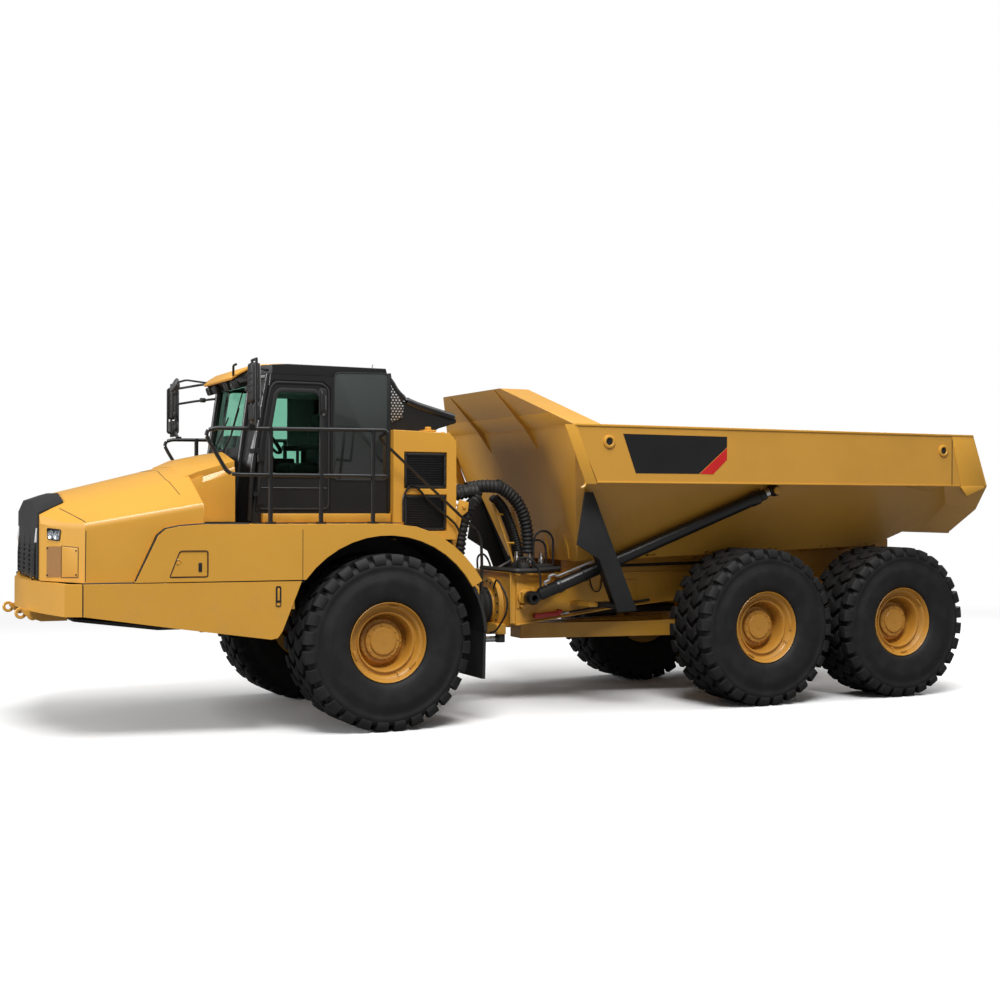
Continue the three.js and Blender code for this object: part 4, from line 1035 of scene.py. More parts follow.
# the quarter pane carries painted shade and a painted sheen
darkPane = side.plate(mirrorX(rounded([(2.53, 2.53), (2.52, 3.635), (1.925, 3.65), (1.925, 2.53)], 0.06)),
                      -0.004, 0.006, 0.003)
finishPiece(darkPane, "quarterPane", paintedSheenGlass, "tractor", "glass", "quarter_glass")
trim = side.frame(mirrorX(rounded([(2.54, 2.52), (2.53, 3.648), (1.915, 3.663), (1.915, 2.52)], 0.07)),
                  0.016, 0.0, 0.009, 0.003)
finishPiece(trim, "quarterTrim", blackPlastic, "tractor", "plastic")
farSide = Face((0, -cabSide, 0), (1, 0, 0))
farPane = rounded([(1.95, 2.5), (3.3, 2.5), (3.26, 2.95), (3.17, 3.56), (1.95, 3.56)], 0.07)
finishPiece(farSide.frame(farPane, 0.035, 0.0, 0.01, 0.004), "farPaneFrame", blackPlastic, "tractor",
            "plastic")
bar = [farSide.plate([(2.72, 2.5), (2.82, 2.5), (2.82, 3.56), (2.72, 3.56)], 0.0, 0.012, 0.004)]
assemble("farPillar", bar, blackPaint, "tractor", "black_paint")

pillar = []
for end in (1, -1):
    pillar.append(tube([(3.415, end * 0.875, 2.1), (3.395, end * 0.873, 2.55), (3.3, end * 0.865, 3.15),
                        (3.215, end * 0.85, 3.6)], 0.03, 0.12, 12, "pillar"))
    pillar.append(tube([(3.53, end * 0.652, 2.15), (3.44, end * 0.645, 2.8), (3.345, end * 0.635, 3.5)],
                       0.032, 0.1, 12, "pillar"))
    pillar.append(block((1.893, end * 0.895 - 0.012, 2.2), (1.93, end * 0.895 + 0.012, 3.66), 0.008))
assemble("cabPillars", pillar, blackPaint, "tractor", "black_paint")
belt = [block((1.91, 0.88, 2.086), (3.3, 0.955, 2.178), 0.01),
        block((1.91, -0.955, 2.086), (3.3, -0.88, 2.178), 0.01)]
assemble("cabBelt", belt, machinePaint, "tractor", "yellow_paint")
visorRows = ((3.04, 0.8, 3.722), (3.24, 0.76, 3.712), (3.36, 0.7, 3.695), (3.47, 0.63, 3.63),
             (3.54, 0.55, 3.572))
visorCap = chain([(visorRows[0][0], -visorRows[0][1], visorRows[0][2]),
                  (visorRows[0][0], visorRows[0][1], visorRows[0][2])], "visorCap")
editMode(visorCap)
mesh = bmesh.from_edit_mesh(visorCap.data)
last = list(mesh.verts)
last.sort(key=lambda vertex: vertex.co.y)
for x, half, z in visorRows[1:]:
    row = [mesh.verts.new((x, -half, z)), mesh.verts.new((x, half, z))]
    mesh.faces.new((last[0], row[0], row[1], last[1]))
    last = row
bmesh.update_edit_mesh(visorCap.data)
bpy.ops.mesh.select_all(action="SELECT")
bpy.ops.mesh.normals_make_consistent(inside=False)
objectMode()
addModifier(visorCap, "SOLIDIFY", thickness=0.03, offset=-1.0)
roundEdges(visorCap, 0.01, 3)
finishPiece(visorCap, "visorCap", machinePaint, "tractor", "yellow_paint")
lamps, lenses = [], []
for y in (-0.5, -0.24, 0.24, 0.5):
    box = block((-0.03, -0.07, -0.045), (0.03, 0.07, 0.045), 0.012)
    box.data.transform(Matrix.Translation((3.47, y, 3.508)) @ Matrix.Rotation(0.35, 4, "Y"))
    lens = block((0.028, -0.058, -0.034), (0.037, 0.058, 0.034), 0.006)
    lens.data.transform(Matrix.Translation((3.47, y, 3.508)) @ Matrix.Rotation(0.35, 4, "Y"))
    lamps.append(box)
    lenses.append(lens)
assemble("workLamps", lamps, blackPlastic, "tractor", "plastic")
assemble("workLenses", lenses, lampGlass, "tractor", "glass")
wiper = [tube([(3.47, 0.05, 2.83), (3.42, 0.18, 3.0), (3.37, 0.3, 3.28)], 0.009, 0.03, 8, "wiperArm"),
         tube([(3.425, 0.2, 3.02), (3.35, 0.36, 3.44)], 0.007, 0, 6, "wiperBlade"),
         disc((3.46, 0.05, 2.83), 0.022, (1, 0, 0.2), 0.03),
         tube([(3.47, -0.35, 2.83), (3.375, -0.1, 3.2)], 0.009, 0, 8, "wiperArm")]
assemble("wipers", wiper, blackPlastic, "tractor", "plastic")
roofFit = [tube([(1.826, 0.1, 3.7), (1.826, 0.1, 3.73), (1.8, 0.1, 3.825)], 0.004, 0, 6, "aerial"),
           disc((1.826, 0.1, 3.7), 0.018, (0, 0, 1), 0.02),
           block((2.35, -0.45, 3.708), (2.95, 0.45, 3.724), 0.006),
           disc((2.1, -0.4, 3.708), 0.07, (0, 0, 1), 0.03, 0.008)]
assemble("roofFittings", roofFit, blackPlastic, "tractor", "plastic")

# Inside the cab
cushion = {"low": (2.34, -0.25, 2.575), "high": (2.83, 0.25, 2.7),
           "back": ((2.335, 2.7), (2.47, 2.71), (2.4, 3.3), (2.27, 3.3))}


def pad(piece, name, crown):  # swells a block into a crowned cushion
    addModifier(piece, "REMESH", mode="VOXEL", voxel_size=0.014)
    cloth = piece.modifiers.new("cloth", "CLOTH")
    cloth.settings.use_pressure = True
    cloth.settings.uniform_pressure_force = crown
    cloth.settings.effector_weights.gravity = 0
    scene = bpy.context.scene
    for step in range(1, 13):
        scene.frame_set(step)
    before = [vertex.co.copy() for vertex in piece.data.vertices]
    pick(piece)
    bpy.ops.object.modifier_apply(modifier=cloth.name)
    for vertex, start in zip(piece.data.vertices, before):
        move = vertex.co - start
        if move.length > 0.018:
            vertex.co = start + move.normalized() * 0.018
    scene.frame_set(1)
    addModifier(piece, "SMOOTH", factor=0.5, iterations=3)
    smooth(piece, 80)
    finishPiece(piece, name, seatCloth, "tractor", "seat_cloth", "driver_seat")
    return piece


pad(block(cushion["low"], cushion["high"], 0.02, 3), "seatCushion", 3.0)
pad(sidePlate(rounded(cushion["back"], 0.03), -0.235, 0.235, 0.02, 3), "seatBack", 3.0)
pad(sidePlate(rounded([(2.28, 3.32), (2.36, 3.32), (2.345, 3.48), (2.265, 3.48)], 0.02), -0.13, 0.13, 0.02,
              3), "headRest", 2.0)
seatBase = [block((2.4, -0.2, 2.5), (2.78, 0.2, 2.57), 0.012),
            block((2.45, -0.16, 2.19), (2.72, 0.16, 2.5), 0.03),
            block((2.36, -0.24, 2.146), (2.8, 0.24, 2.19), 0.01)]
seatBase += [tube([(2.31, y, 3.3), (2.31, y, 3.34)], 0.008, 0, 8) for y in (0.06, -0.06)]
for armY in (0.3, -0.3):  # the arm rests and their stems
    seatBase.append(block((2.38, armY - 0.04, 2.86), (2.72, armY + 0.04, 2.92), 0.02))
    seatBase.append(block((2.42, armY - 0.02, 2.62), (2.5, armY + 0.02, 2.87), 0.01))
assemble("seatFrame", seatBase, blackPlastic, "tractor", "plastic", "driver_seat")
inside = [block((1.955, -0.83, 3.56), (3.28, 0.83, 3.59), 0.006),
          block((1.95, -0.83, 2.15), (2.0, 0.83, 2.74), 0.01),
          block((1.95, -0.83, 2.74), (1.99, -0.68, 3.55), 0.01),
          block((1.95, 0.7, 2.74), (1.99, 0.83, 3.55), 0.01),
          block((2.02, -0.8, 2.16), (2.5, -0.34, 2.62), 0.02),
          block((2.0, 0.2, 3.4), (3.2, 0.8, 3.56), 0.03), block((2.02, 0.42, 2.16), (2.5, 0.8, 2.5), 0.02),
          block((2.72, -0.835, 2.5), (2.82, -0.8, 3.56), 0.01),
          # the last two blocks stand on the far wall as grey panels that darken the view through the cab
          # glass: painted shade
          block((2.02, -0.835, 2.5), (2.2, -0.8, 3.56), 0.01),
          block((2.1, -0.835, 2.94), (2.5, -0.8, 3.56), 0.01)]
assemble("cabLiningAndShadePanels", inside, liningGrey, "tractor", "plastic")
shelf = [block((2.1, 0.1, 2.45), (2.5, 0.42, 2.52), 0.02)]
assemble("sideShelf", shelf, greyPlastic, "tractor", "plastic")
wheelRim = turned([(0.205 + 0.017 * math.cos(a), 0.017 * math.sin(a))
                   for a in [tau * i / 12 for i in range(13)]], (3.04, 0, 2.86), (-0.768, 0, 0.64), 40,
                  "wheelRim")
dash = [wheelRim, disc((3.06, 0, 2.845), 0.06, (-0.768, 0, 0.64), 0.035, 0.01),
        block((3.2, -0.35, 2.78), (3.36, 0.35, 2.87), 0.03),
        block((3.17, -0.2, 2.84), (3.2, 0.2, 2.96), 0.012),
        block((3.05, -0.62, 2.6), (3.3, -0.42, 3.02), 0.02),
        block((2.55, -0.52, 2.62), (2.95, -0.36, 2.78), 0.02),
        tube([(2.8, -0.44, 2.76), (2.83, -0.44, 2.9)], 0.012, 0, 8),
        disc((2.83, -0.44, 2.89), 0.022, (0, 0, 1), 0.04, 0.01)]
assemble("controls", dash, blackPlastic, "tractor", "plastic")
print("cab fitted out")

# Mirrors: round brackets, ribbed heads and bright glasses
mirrorOut = 1.7
for end, label in bothEnds:
    glasses = [block((3.556, end * mirrorOut - 0.06, 3.29), (3.567, end * mirrorOut + 0.06, 3.6), 0.004),
               block((3.556, end * mirrorOut - 0.06, 3.105), (3.567, end * mirrorOut + 0.06, 3.215), 0.004)]
    assemble("mirrorGlass." + label, glasses, rodSteel, "tractor", "rod_steel")
    heads = [block((3.565, end * mirrorOut - 0.085, 3.25), (3.655, end * mirrorOut + 0.085, 3.63), 0.03, 4),
             block((3.565, end * mirrorOut - 0.085, 3.075), (3.64, end * mirrorOut + 0.085, 3.235), 0.025, 4)]
    heads += [block((3.65, end * mirrorOut - 0.07, z), (3.662, end * mirrorOut + 0.07, z + 0.018), 0.004)
              for z in (3.34, 3.4, 3.46, 3.52)]
    heads += [disc((3.6, end * 1.6, z), 0.028, (0, 0, 1), 0.06, 0.006) for z in (3.12, 3.28, 3.54)]
    heads += [tube([(3.36, end * 0.75, 3.44), (3.5, end * 1.1, 3.43), (3.6, end * 1.56, 3.42)], 0.014, 0.05,
                   10), disc((3.45, end * 0.93, 3.41), 0.035, (0, 0, 1), 0.05, 0.012)]
    heads += [tube([(3.5, end * 0.55, 3.6), (3.62, end * 1.0, 3.66), (3.66, end * 1.25, 3.65)], 0.012, 0.05,
                   8)]
    assemble("mirrorHeads." + label, heads, blackPlastic, "tractor", "plastic")
loop = [(3.67, -mirrorOut, 3.6), (3.55, -mirrorOut, 3.605), (3.55, -mirrorOut, 3.095),
        (3.67, -mirrorOut, 3.093), (3.67, -mirrorOut, 3.6)]
finishPiece(tube(loop, 0.013, 0.02, 8), "mirrorLoop", blackPlastic, "tractor", "plastic")
convex = turned([(0.0, 0.03), (0.05, 0.026), (0.085, 0.012), (0.098, 0.0), (0.09, -0.018), (0.05, -0.035),
                 (0.0, -0.04)], (3.66, -1.25, 3.6), (-0.9, 0, -0.43), 24, "wideMirror")
finishPiece(convex, "wideMirror", greyPlastic, "tractor", "plastic")

# Cooling tower: two louvred panels a side, its back grid, brackets, and the shroud's screen and hoops
tower = {"in": 0.961, "panels": ((1.3, 1.77, 2.452, 2.818), (1.3, 1.77, 2.002, 2.368)), "slats": 13}
for end, label in bothEnds:
    louvres, frames, fields = [], [], []
    for x0, x1, z0, z1 in tower["panels"]:
        face = Face((x0, end * tower["in"], z0), (-1, 0, 0) if end > 0 else (1, 0, 0))
        wide = -(x1 - x0) if end > 0 else (x1 - x0)
        outline = rounded([(0.0, 0.0), (wide, 0.0), (wide, z1 - z0), (0.0, z1 - z0)], 0.02)
        frames.append(face.frame(outline, 0.022, 0.0, 0.034, 0.003))
        fields.append(face.plate(outline, 0.0, 0.006, 0))
        for index in range(tower["slats"]):
            z = z0 + 0.03 + (z1 - z0 - 0.06) * index / (tower["slats"] - 1)
            slat = block((x0 + 0.02, end * 0.978 - 0.011, z - 0.002),
                         (x1 - 0.02, end * 0.978 + 0.011, z + 0.002), 0.001, 1, "slat")
            louvres.append(slat)
    finishPiece(joined("towerFrames", frames + louvres), "towerLouvres." + label, blackPlastic, "tractor",
                "plastic")
    assemble("towerScreens." + label, fields, blackMesh, "tractor", "plastic")
bracket = [block((1.2, 0.72, 3.02), (1.32, 0.86, 3.035), 0.006),
           block((1.35, 0.7, 3.055), (1.5, 0.86, 3.075), 0.008),
           disc((1.42, 0.78, 3.07), 0.035, (0, 0, 1), 0.04, 0.008),
           disc((1.25, 0.79, 3.03), 0.02, (0, 0, 1), 0.03, 0.006),
           tube([(1.7, 0.5, 3.05), (1.7, 0.5, 3.1), (1.7, -0.5, 3.1), (1.7, -0.5, 3.05)], 0.012, 0.03, 8)]
assemble("towerBracket", bracket, machinePaint, "tractor", "yellow_paint")
back = []
for z in (2.0, 2.16, 2.32, 2.48, 2.64, 2.8):
    for y in (-0.62, 0.0, 0.62):
        back.append(block((1.168, y - 0.26, z), (1.182, y + 0.26, z + 0.11), 0.005))
assemble("towerBack", back, blackMesh, "tractor", "plastic")
screen = plate([(1.905, 0.524, 3.1), (1.905, 0.524, 3.62), (1.86, 0.524, 3.66), (1.76, 0.524, 3.6),
                (1.6, 0.524, 3.34), (1.62, 0.524, 3.22), (1.75, 0.524, 3.16)], (0, 0.012, 0), 0.003, 2,
               "shroudScreen")
finishPiece(screen, "shroudScreen", openMesh, "tractor", "black_paint")
hoopLine = ((1.9, 3.66), (1.83, 3.675), (1.76, 3.63), (1.66, 3.45), (1.5, 3.37), (1.0, 3.235))
hoops = [tube([(x, y, z) for x, z in hoopLine], radius, 0.1, sides)
         for y, radius, sides in ((0.5, 0.045, 14), (-0.1, 0.03, 10), (-0.68, 0.03, 10))]
assemble("shroudHoop", hoops, blackPaint, "tractor", "black_paint")

# Handrails: round pipe in place of the plain rails
rail = {"y": 1.5, "top": 3.025, "low": 2.56, "pipe": 0.02}


def guardRail(front, posts):
    y, top, low = rail["y"], rail["top"], rail["low"]
    parts = [tube([(2.16, y, low), (2.16, y, top), (front - 0.07, y, top - 0.02), (front, y, top - 0.06),
                   (front - 0.03, y, top - 0.13), (front - 0.22, y, low + 0.02), (front - 0.3, y, low),
                   (2.16, y, low)], rail["pipe"], 0.05, 12, "loop")]
    for x in posts:
        parts.append(tube([(x, y, 2.08), (x, y, top)], 0.024, 0, 12, "post"))
        parts.append(block((x - 0.05, y - 0.045, 2.081), (x + 0.05, y + 0.045, 2.095), 0.004))
        parts += [disc((x + a, y + b, 2.094), 0.009, (0, 0, 1), 0.009, 0.002, 6) for a in (-0.036, 0.036)
                  for b in (-0.03, 0.03)]
    return parts


leftRail = guardRail(4.03, (3.38, 2.864, 2.316))
leftRail.append(tube([(2.16, 1.479, 3.015), (2.13, 1.16, 2.965), (1.144, 1.13, 2.117), (1.05, 1.12, 2.05),
                      (0.942, 1.12, 1.942), (0.93, 1.12, 1.655), (0.938, 1.12, 1.28), (1.1, 1.12, 1.25)],
                     0.017, 0.08, 10))
leftRail.append(tube([(1.797, 1.02, 2.09), (1.797, 1.02, 2.365), (1.74, 1.02, 2.46), (1.683, 1.02, 2.473),
                      (1.62, 1.02, 2.44), (1.545, 1.02, 2.347), (1.2, 1.05, 2.06), (1.15, 1.05, 1.95)],
                     0.013, 0.05, 10))
finishPiece(joined("handRail", leftRail), "handRail.left", blackPaint, "tractor", "black_paint",
            "handrail_left")
rightParts = guardRail(3.76, (3.38, 2.864, 2.316))
rightParts.append(tube([(2.16, 1.479, 3.015), (2.13, 1.16, 2.965), (2.13, 1.16, 2.085)], 0.017, 0.08, 10))
rightRail = joined("handRail", rightParts)
turnedRail = mirroredY(rightRail, "handRail")
bpy.data.objects.remove(rightRail)
finishPiece(turnedRail, "handRail.right", blackPaint, "tractor", "black_paint", "handrail_right")
treads = []
for index in range(9):
    x = 1.95 + index * 0.2
    treads.append(block((x, 0.99, 2.081), (x + 0.13, 1.36, 2.088), 0.002))
bothSides(joined("deckTreads", treads), "deckTreads", blackMesh, "tractor", "plastic")
print("tower and rails made")

# Hoses over the hitch, between tower and rear frame
sleeve = {"radius": 0.061, "ridge": 0.013, "pitch": 0.047, "join": (0.42, 0.49, 2.47)}
overHitch = [(1.178, 0.5, 2.4), (0.95, 0.5, 2.42), (0.78, 0.5, 2.465), (0.6, 0.5, 2.485), sleeve["join"]]
wideRibs = (sleeve["radius"], sleeve["ridge"], sleeve["pitch"])
bigSleeve = corrugated(overHitch, *wideRibs, "bigSleeve")
finishPiece(bigSleeve, "bigSleeve", hoseRubber, None, "rubber", "hitch_hose")
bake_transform(bigSleeve)
toFrame = [sleeve["join"], (0.26, 0.48, 2.38), (0.14, 0.47, 2.23), (0.07, 0.46, 2.05), (0.05, 0.455, 1.86),
           (0.05, 0.45, 1.72)]
fallSleeve = corrugated(toFrame, *wideRibs, "fallSleeve")
finishPiece(fallSleeve, "fallSleeve", hoseRubber, None, "rubber")
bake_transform(fallSleeve)
collar = turned(ringProfile(0.06, 0.079, 0.082, 0.024, 0.03), sleeve["join"], (0.93, 0.05, 0.36), 24,
                "sleeveCollar")
finishPiece(collar, "sleeveCollar", hoseRubber, "hitch", "rubber")
second = [(0.826, 0.78, 2.37), (0.926, 0.78, 2.24), (1.0, 0.77, 2.09), (1.03, 0.76, 1.93),
          (1.04, 0.76, 1.79), (1.06, 0.74, 1.64)]
finishPiece(corrugated(second, 0.062, 0.013, 0.047, "dropSleeve"), "dropSleeve", hoseRubber, "tractor",
            "rubber")
upper = [(1.178, 0.76, 2.36), (1.06, 0.77, 2.38), (0.95, 0.78, 2.42), (0.826, 0.78, 2.42)]
finishPiece(corrugated(upper, 0.058, 0.012, 0.045, "upperSleeve"), "upperSleeve", hoseRubber, "tractor",
            "rubber")
inner = [(0.42, 0.36, 2.36), (0.29, 0.34, 2.25), (0.19, 0.31, 2.05), (0.11, 0.3, 1.87), (0.07, 0.3, 1.66)]
pair = [corrugated([(x, y - shift, z) for x, y, z in inner], 0.036, 0.007, 0.03, "inner")
        for shift in (0.0, 0.1)]
assemble("innerSleeves", pair, hoseRubber, "rear_chassis", "rubber")


# a hose with both ends in the machine; its length is worked out and printed
def freeHose(points, diameter, name, body):
    line = [Vector(point) for point in points]
    for _ in range(3):  # cuts the corners until the route is smooth
        cut = [line[0]]
        for first, last in zip(line, line[1:]):
            cut += [first.lerp(last, 0.25), first.lerp(last, 0.75)]
        line = cut + [line[-1]]
    piece = tube(line, diameter / 2, 0, 12, name)
    finishPiece(piece, name, hoseRubber, body, "rubber")
    length = sum((last - first).length for first, last in zip(line, line[1:]))
    tuple(line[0])
    [tuple(point) for point in line]
    print(name, "is", round(length, 3), "m long")


frameTop = 1.5
for label, start, across, top, reach in (("upper", 0.0, 0.5, 1.85, 0.125), ("lower", 0.03, 0.44, 1.76, 0.11)):
    rise = [frameTop + (top - frameTop) * step / 10 for step in range(10)]
    turn = [math.radians(10 * step) for step in range(19)]
    loop = [(start, across, z) for z in rise]
    loop += [(start - reach + reach * math.cos(angle), across, top + reach * math.sin(angle))
             for angle in turn]
    loop += [(start - 2 * reach, across, z) for z in reversed(rise)]
    freeHose(loop, 0.026, "valveHose." + label, "rear_chassis")
for end, label in bothEnds:
    freeHose([(0.24, end * 0.5, frameTop), (0.23, end * 0.54, 1.66), (0.1, end * 0.61, 1.69),
              (-0.01, end * 0.65, 1.53), (-0.01, end * 0.665, 1.31)], 0.025, "hoistHose." + label,
             "rear_chassis")
    freeHose([(0.36, end * 0.22, 1.34), (0.43, end * 0.44, 1.46), (0.33, end * 0.6, 1.15),
              (0.43, end * 0.44, 0.84), (0.4, end * 0.2, 0.81)], 0.023, "hitchHose." + label, "hitch")
clamp = [turned(ringProfile(0.06, 0.082, 0.086, 0.034, 0.04), (0.876, 0.78, 2.33), (0.6, 0, -0.8), 20,
                "clamp"), block((0.9, 0.84, 2.22), (0.98, 0.87, 2.34), 0.008)]
assemble("hoseClamp", clamp, blackPaint, "tractor", "plastic")
bracket = [sidePlate([(0.98, 2.3), (1.09, 2.33), (1.13, 2.2), (1.178, 1.75), (1.15, 1.75), (1.06, 2.15),
                      (0.99, 2.2)], 0.87, 0.885, 0.003),
           tube([(1.178, 0.87, 1.8), (1.1, 0.87, 2.2)], 0.02, 0, 8),
           tube([(1.18, 0.8, 2.27), (1.03, 0.87, 2.27)], 0.016, 0, 8),
           disc((1.04, 0.885, 2.25), 0.02, (0, 1, 0), 0.018)]
assemble("hoseBracket", bracket, machinePaint, "tractor", "yellow_paint")
ladder = [tube([(0.42, 0.3, 2.29), (0.3, 0.3, 2.0), (0.165, 0.3, 1.633), (0.15, 0.3, 1.5)], 0.014, 0.05, 8),
          tube([(0.19, 0.3, 2.26), (0.1, 0.3, 2.0), (0.048, 0.3, 1.75)], 0.014, 0.05, 8),
          tube([(0.37, 0.3, 2.163), (0.15, 0.3, 2.163)], 0.014, 0, 8),
          tube([(0.24, 0.3, 1.834), (0.06, 0.3, 1.834)], 0.014, 0, 8),
          tube([(0.048, 0.3, 1.75), (0.06, 0.3, 1.5)], 0.014, 0, 8)]
assemble("hoseLadder", ladder, machinePaint, "rear_chassis", "yellow_paint")

# Dump body: end posts, lifting eyes, blank side panels, hoist ears, the canopy's strip, and ribs
body = {"face": 1.7, "eyes": ((-0.299, 2.956), (-4.932, 2.941)), "sheet": 0.014, "film": 0.0025}
for end, label in bothEnds:
    y = end * body["face"]
    thick = end * body["sheet"]
    front = sidePlate([(0.235, 3.128), (0.1, 3.13), (-0.15, 2.5), (-0.02, 2.5)], y - thick, y + thick * 0.5,
                      0.004)
    lip = tube([(0.09, y - end * 0.02, 2.9), (-0.028, y - end * 0.01, 2.52), (-0.012, y - end * 0.01, 2.47),
                (0.03, y - end * 0.02, 2.46)], 0.014, 0.03, 10)
    tail = sidePlate([(-5.06, 3.128), (-5.4, 3.1285), (-5.6, 2.52), (-5.3, 2.4), (-5.215, 2.52)], y - thick,
                     y + thick * 0.45, 0.004)
    lowTail = sidePlate([(-5.21, 2.5), (-5.3, 2.395), (-5.59, 2.5), (-5.56, 2.52), (-5.22, 2.52)],
                        y - thick, y + thick * 0.6, 0.003)
    rim = [block((-5.4, y - 0.012, 3.118), (0.12, y + 0.012, 3.142), 0.004),
           block((-5.2, y - 0.01, 2.512), (-0.15, y + 0.01, 2.53), 0.004)]
    rings = [turned([(0.042, -0.01), (0.066, -0.01), (0.072, 0.0), (0.07, 0.016), (0.062, 0.02),
                     (0.046, 0.02), (0.04, 0.012), (0.042, -0.01)], (x, y, z), (0, end, 0), 28, "eye")
             for x, z in body["eyes"]]
    assemble("railPosts." + label, [front, lip, tail, lowTail] + rim + rings, machinePaint, "dump_body",
             "yellow_paint")
    # black discs in the lifting eyes are painted shade for the depth of their holes; the thin block is a dark
    # line at the tail post
    shadedHolesAndTailLine = [turned([(0.0, 0.004), (0.04, 0.0045), (0.042, 0.0), (0.0, -0.001)], (x, y, z), (0, end, 0), 24,
                    "hole") for x, z in body["eyes"]]
    shadedHolesAndTailLine += [block((-5.075, y - 0.001 * end - 0.0035, 2.52), (-5.068, y + 0.0035 + 0.001 * end, 3.12), 0)]
    assemble("eyeHoles." + label, shadedHolesAndTailLine, blackPlastic, "dump_body", "plastic")
    film = end * body["film"]
    panel = sidePlate([(-0.472, 3.044), (-1.81, 3.041), (-1.81, 2.925), (-1.441, 2.623), (-0.632, 2.62)], y,
                      y + film, 0)
    finishPiece(panel, "sidePanel." + label, decalFilm, "dump_body", "black_paint")
    stripe = sidePlate([(-1.81, 2.915), (-1.81, 2.784), (-1.625, 2.619), (-1.453, 2.622)], y, y + film, 0)
    finishPiece(stripe, "sideStripe." + label, decalStripe, "dump_body", "yellow_paint")
    hoistEar = [sidePlate(rounded([(-2.44, 2.53), (-2.53, 2.36), (-2.66, 2.36), (-2.78, 2.53)], 0.04),
                          end * 1.4, end * 1.412, 0.003),
                disc((-2.6, end * 1.412, 2.446), 0.05, (0, end, 0), 0.012, 0.004),
                disc((-2.6, end * 1.545, 2.446), 0.045, (0, end, 0), 0.03, 0.008)]
    hoistEar += boltRow([(-2.6 + 0.028 * math.cos(a), end * 1.424, 2.446 + 0.028 * math.sin(a))
                         for a in (0.8, 2.4, 3.9, 5.5)], (0, end, 0), 0.008)
    assemble("hoistEar." + label, hoistEar, machinePaint, "dump_body", "yellow_paint")
lean = Vector((0.688, 0, -0.725))  # out of the canopy's front
strip = [Vector(point) + lean * 0.004
         for point in ((0.116, -1.66, 3.128), (0.116, 1.66, 3.128), (0.262, 1.375, 3.266),
                       (0.262, -1.375, 3.266))]
finishPiece(plate(strip, -lean * 0.035, 0.003, 2, "canopyStrip"), "canopyStrip", machinePaint, "dump_body",
            "yellow_paint")
ribs = []
for x in (-1.25, -2.05, -2.95, -3.7, -4.3):
    low = 1.64 + (x + 0.16) / (-4.34) * 0.14
    ribs.append(plate([(x, -0.86, low - 0.004), (x, -0.92, low + 0.02), (x, -0.5, low - 0.07),
                       (x, 0.5, low - 0.07), (x, 0.92, low + 0.02), (x, 0.86, low - 0.004)], (-0.09, 0, 0),
                      0.004))
ribs.append(plate([(-5.55, -1.1, 1.93), (-5.55, 1.1, 1.93), (-5.55, 1.1, 1.955), (-5.55, -1.1, 1.955)],
                  (-0.03, 0, 0), 0.004))
for y in (-0.75, -0.25, 0.25, 0.75):
    ribs.append(plate([(-0.33, y - 0.03, 1.66), (-0.33, y + 0.03, 1.66), (-0.165, y + 0.03, 2.5),
                       (-0.165, y - 0.03, 2.5)], (0.02, 0, 0), 0.003))
assemble("bodyRibs", ribs, machinePaint, "dump_body", "yellow_paint")
pads = [block((x, end * 0.45 - 0.06, 1.4915), (x + 0.2, end * 0.45 + 0.06, 1.4985), 0.002)
        for x in (-0.9, -1.8, -2.9, -3.9) for end in (1, -1)]
assemble("restPads", pads, hoseRubber, "dump_body", "rubber")
print("dump body dressed")

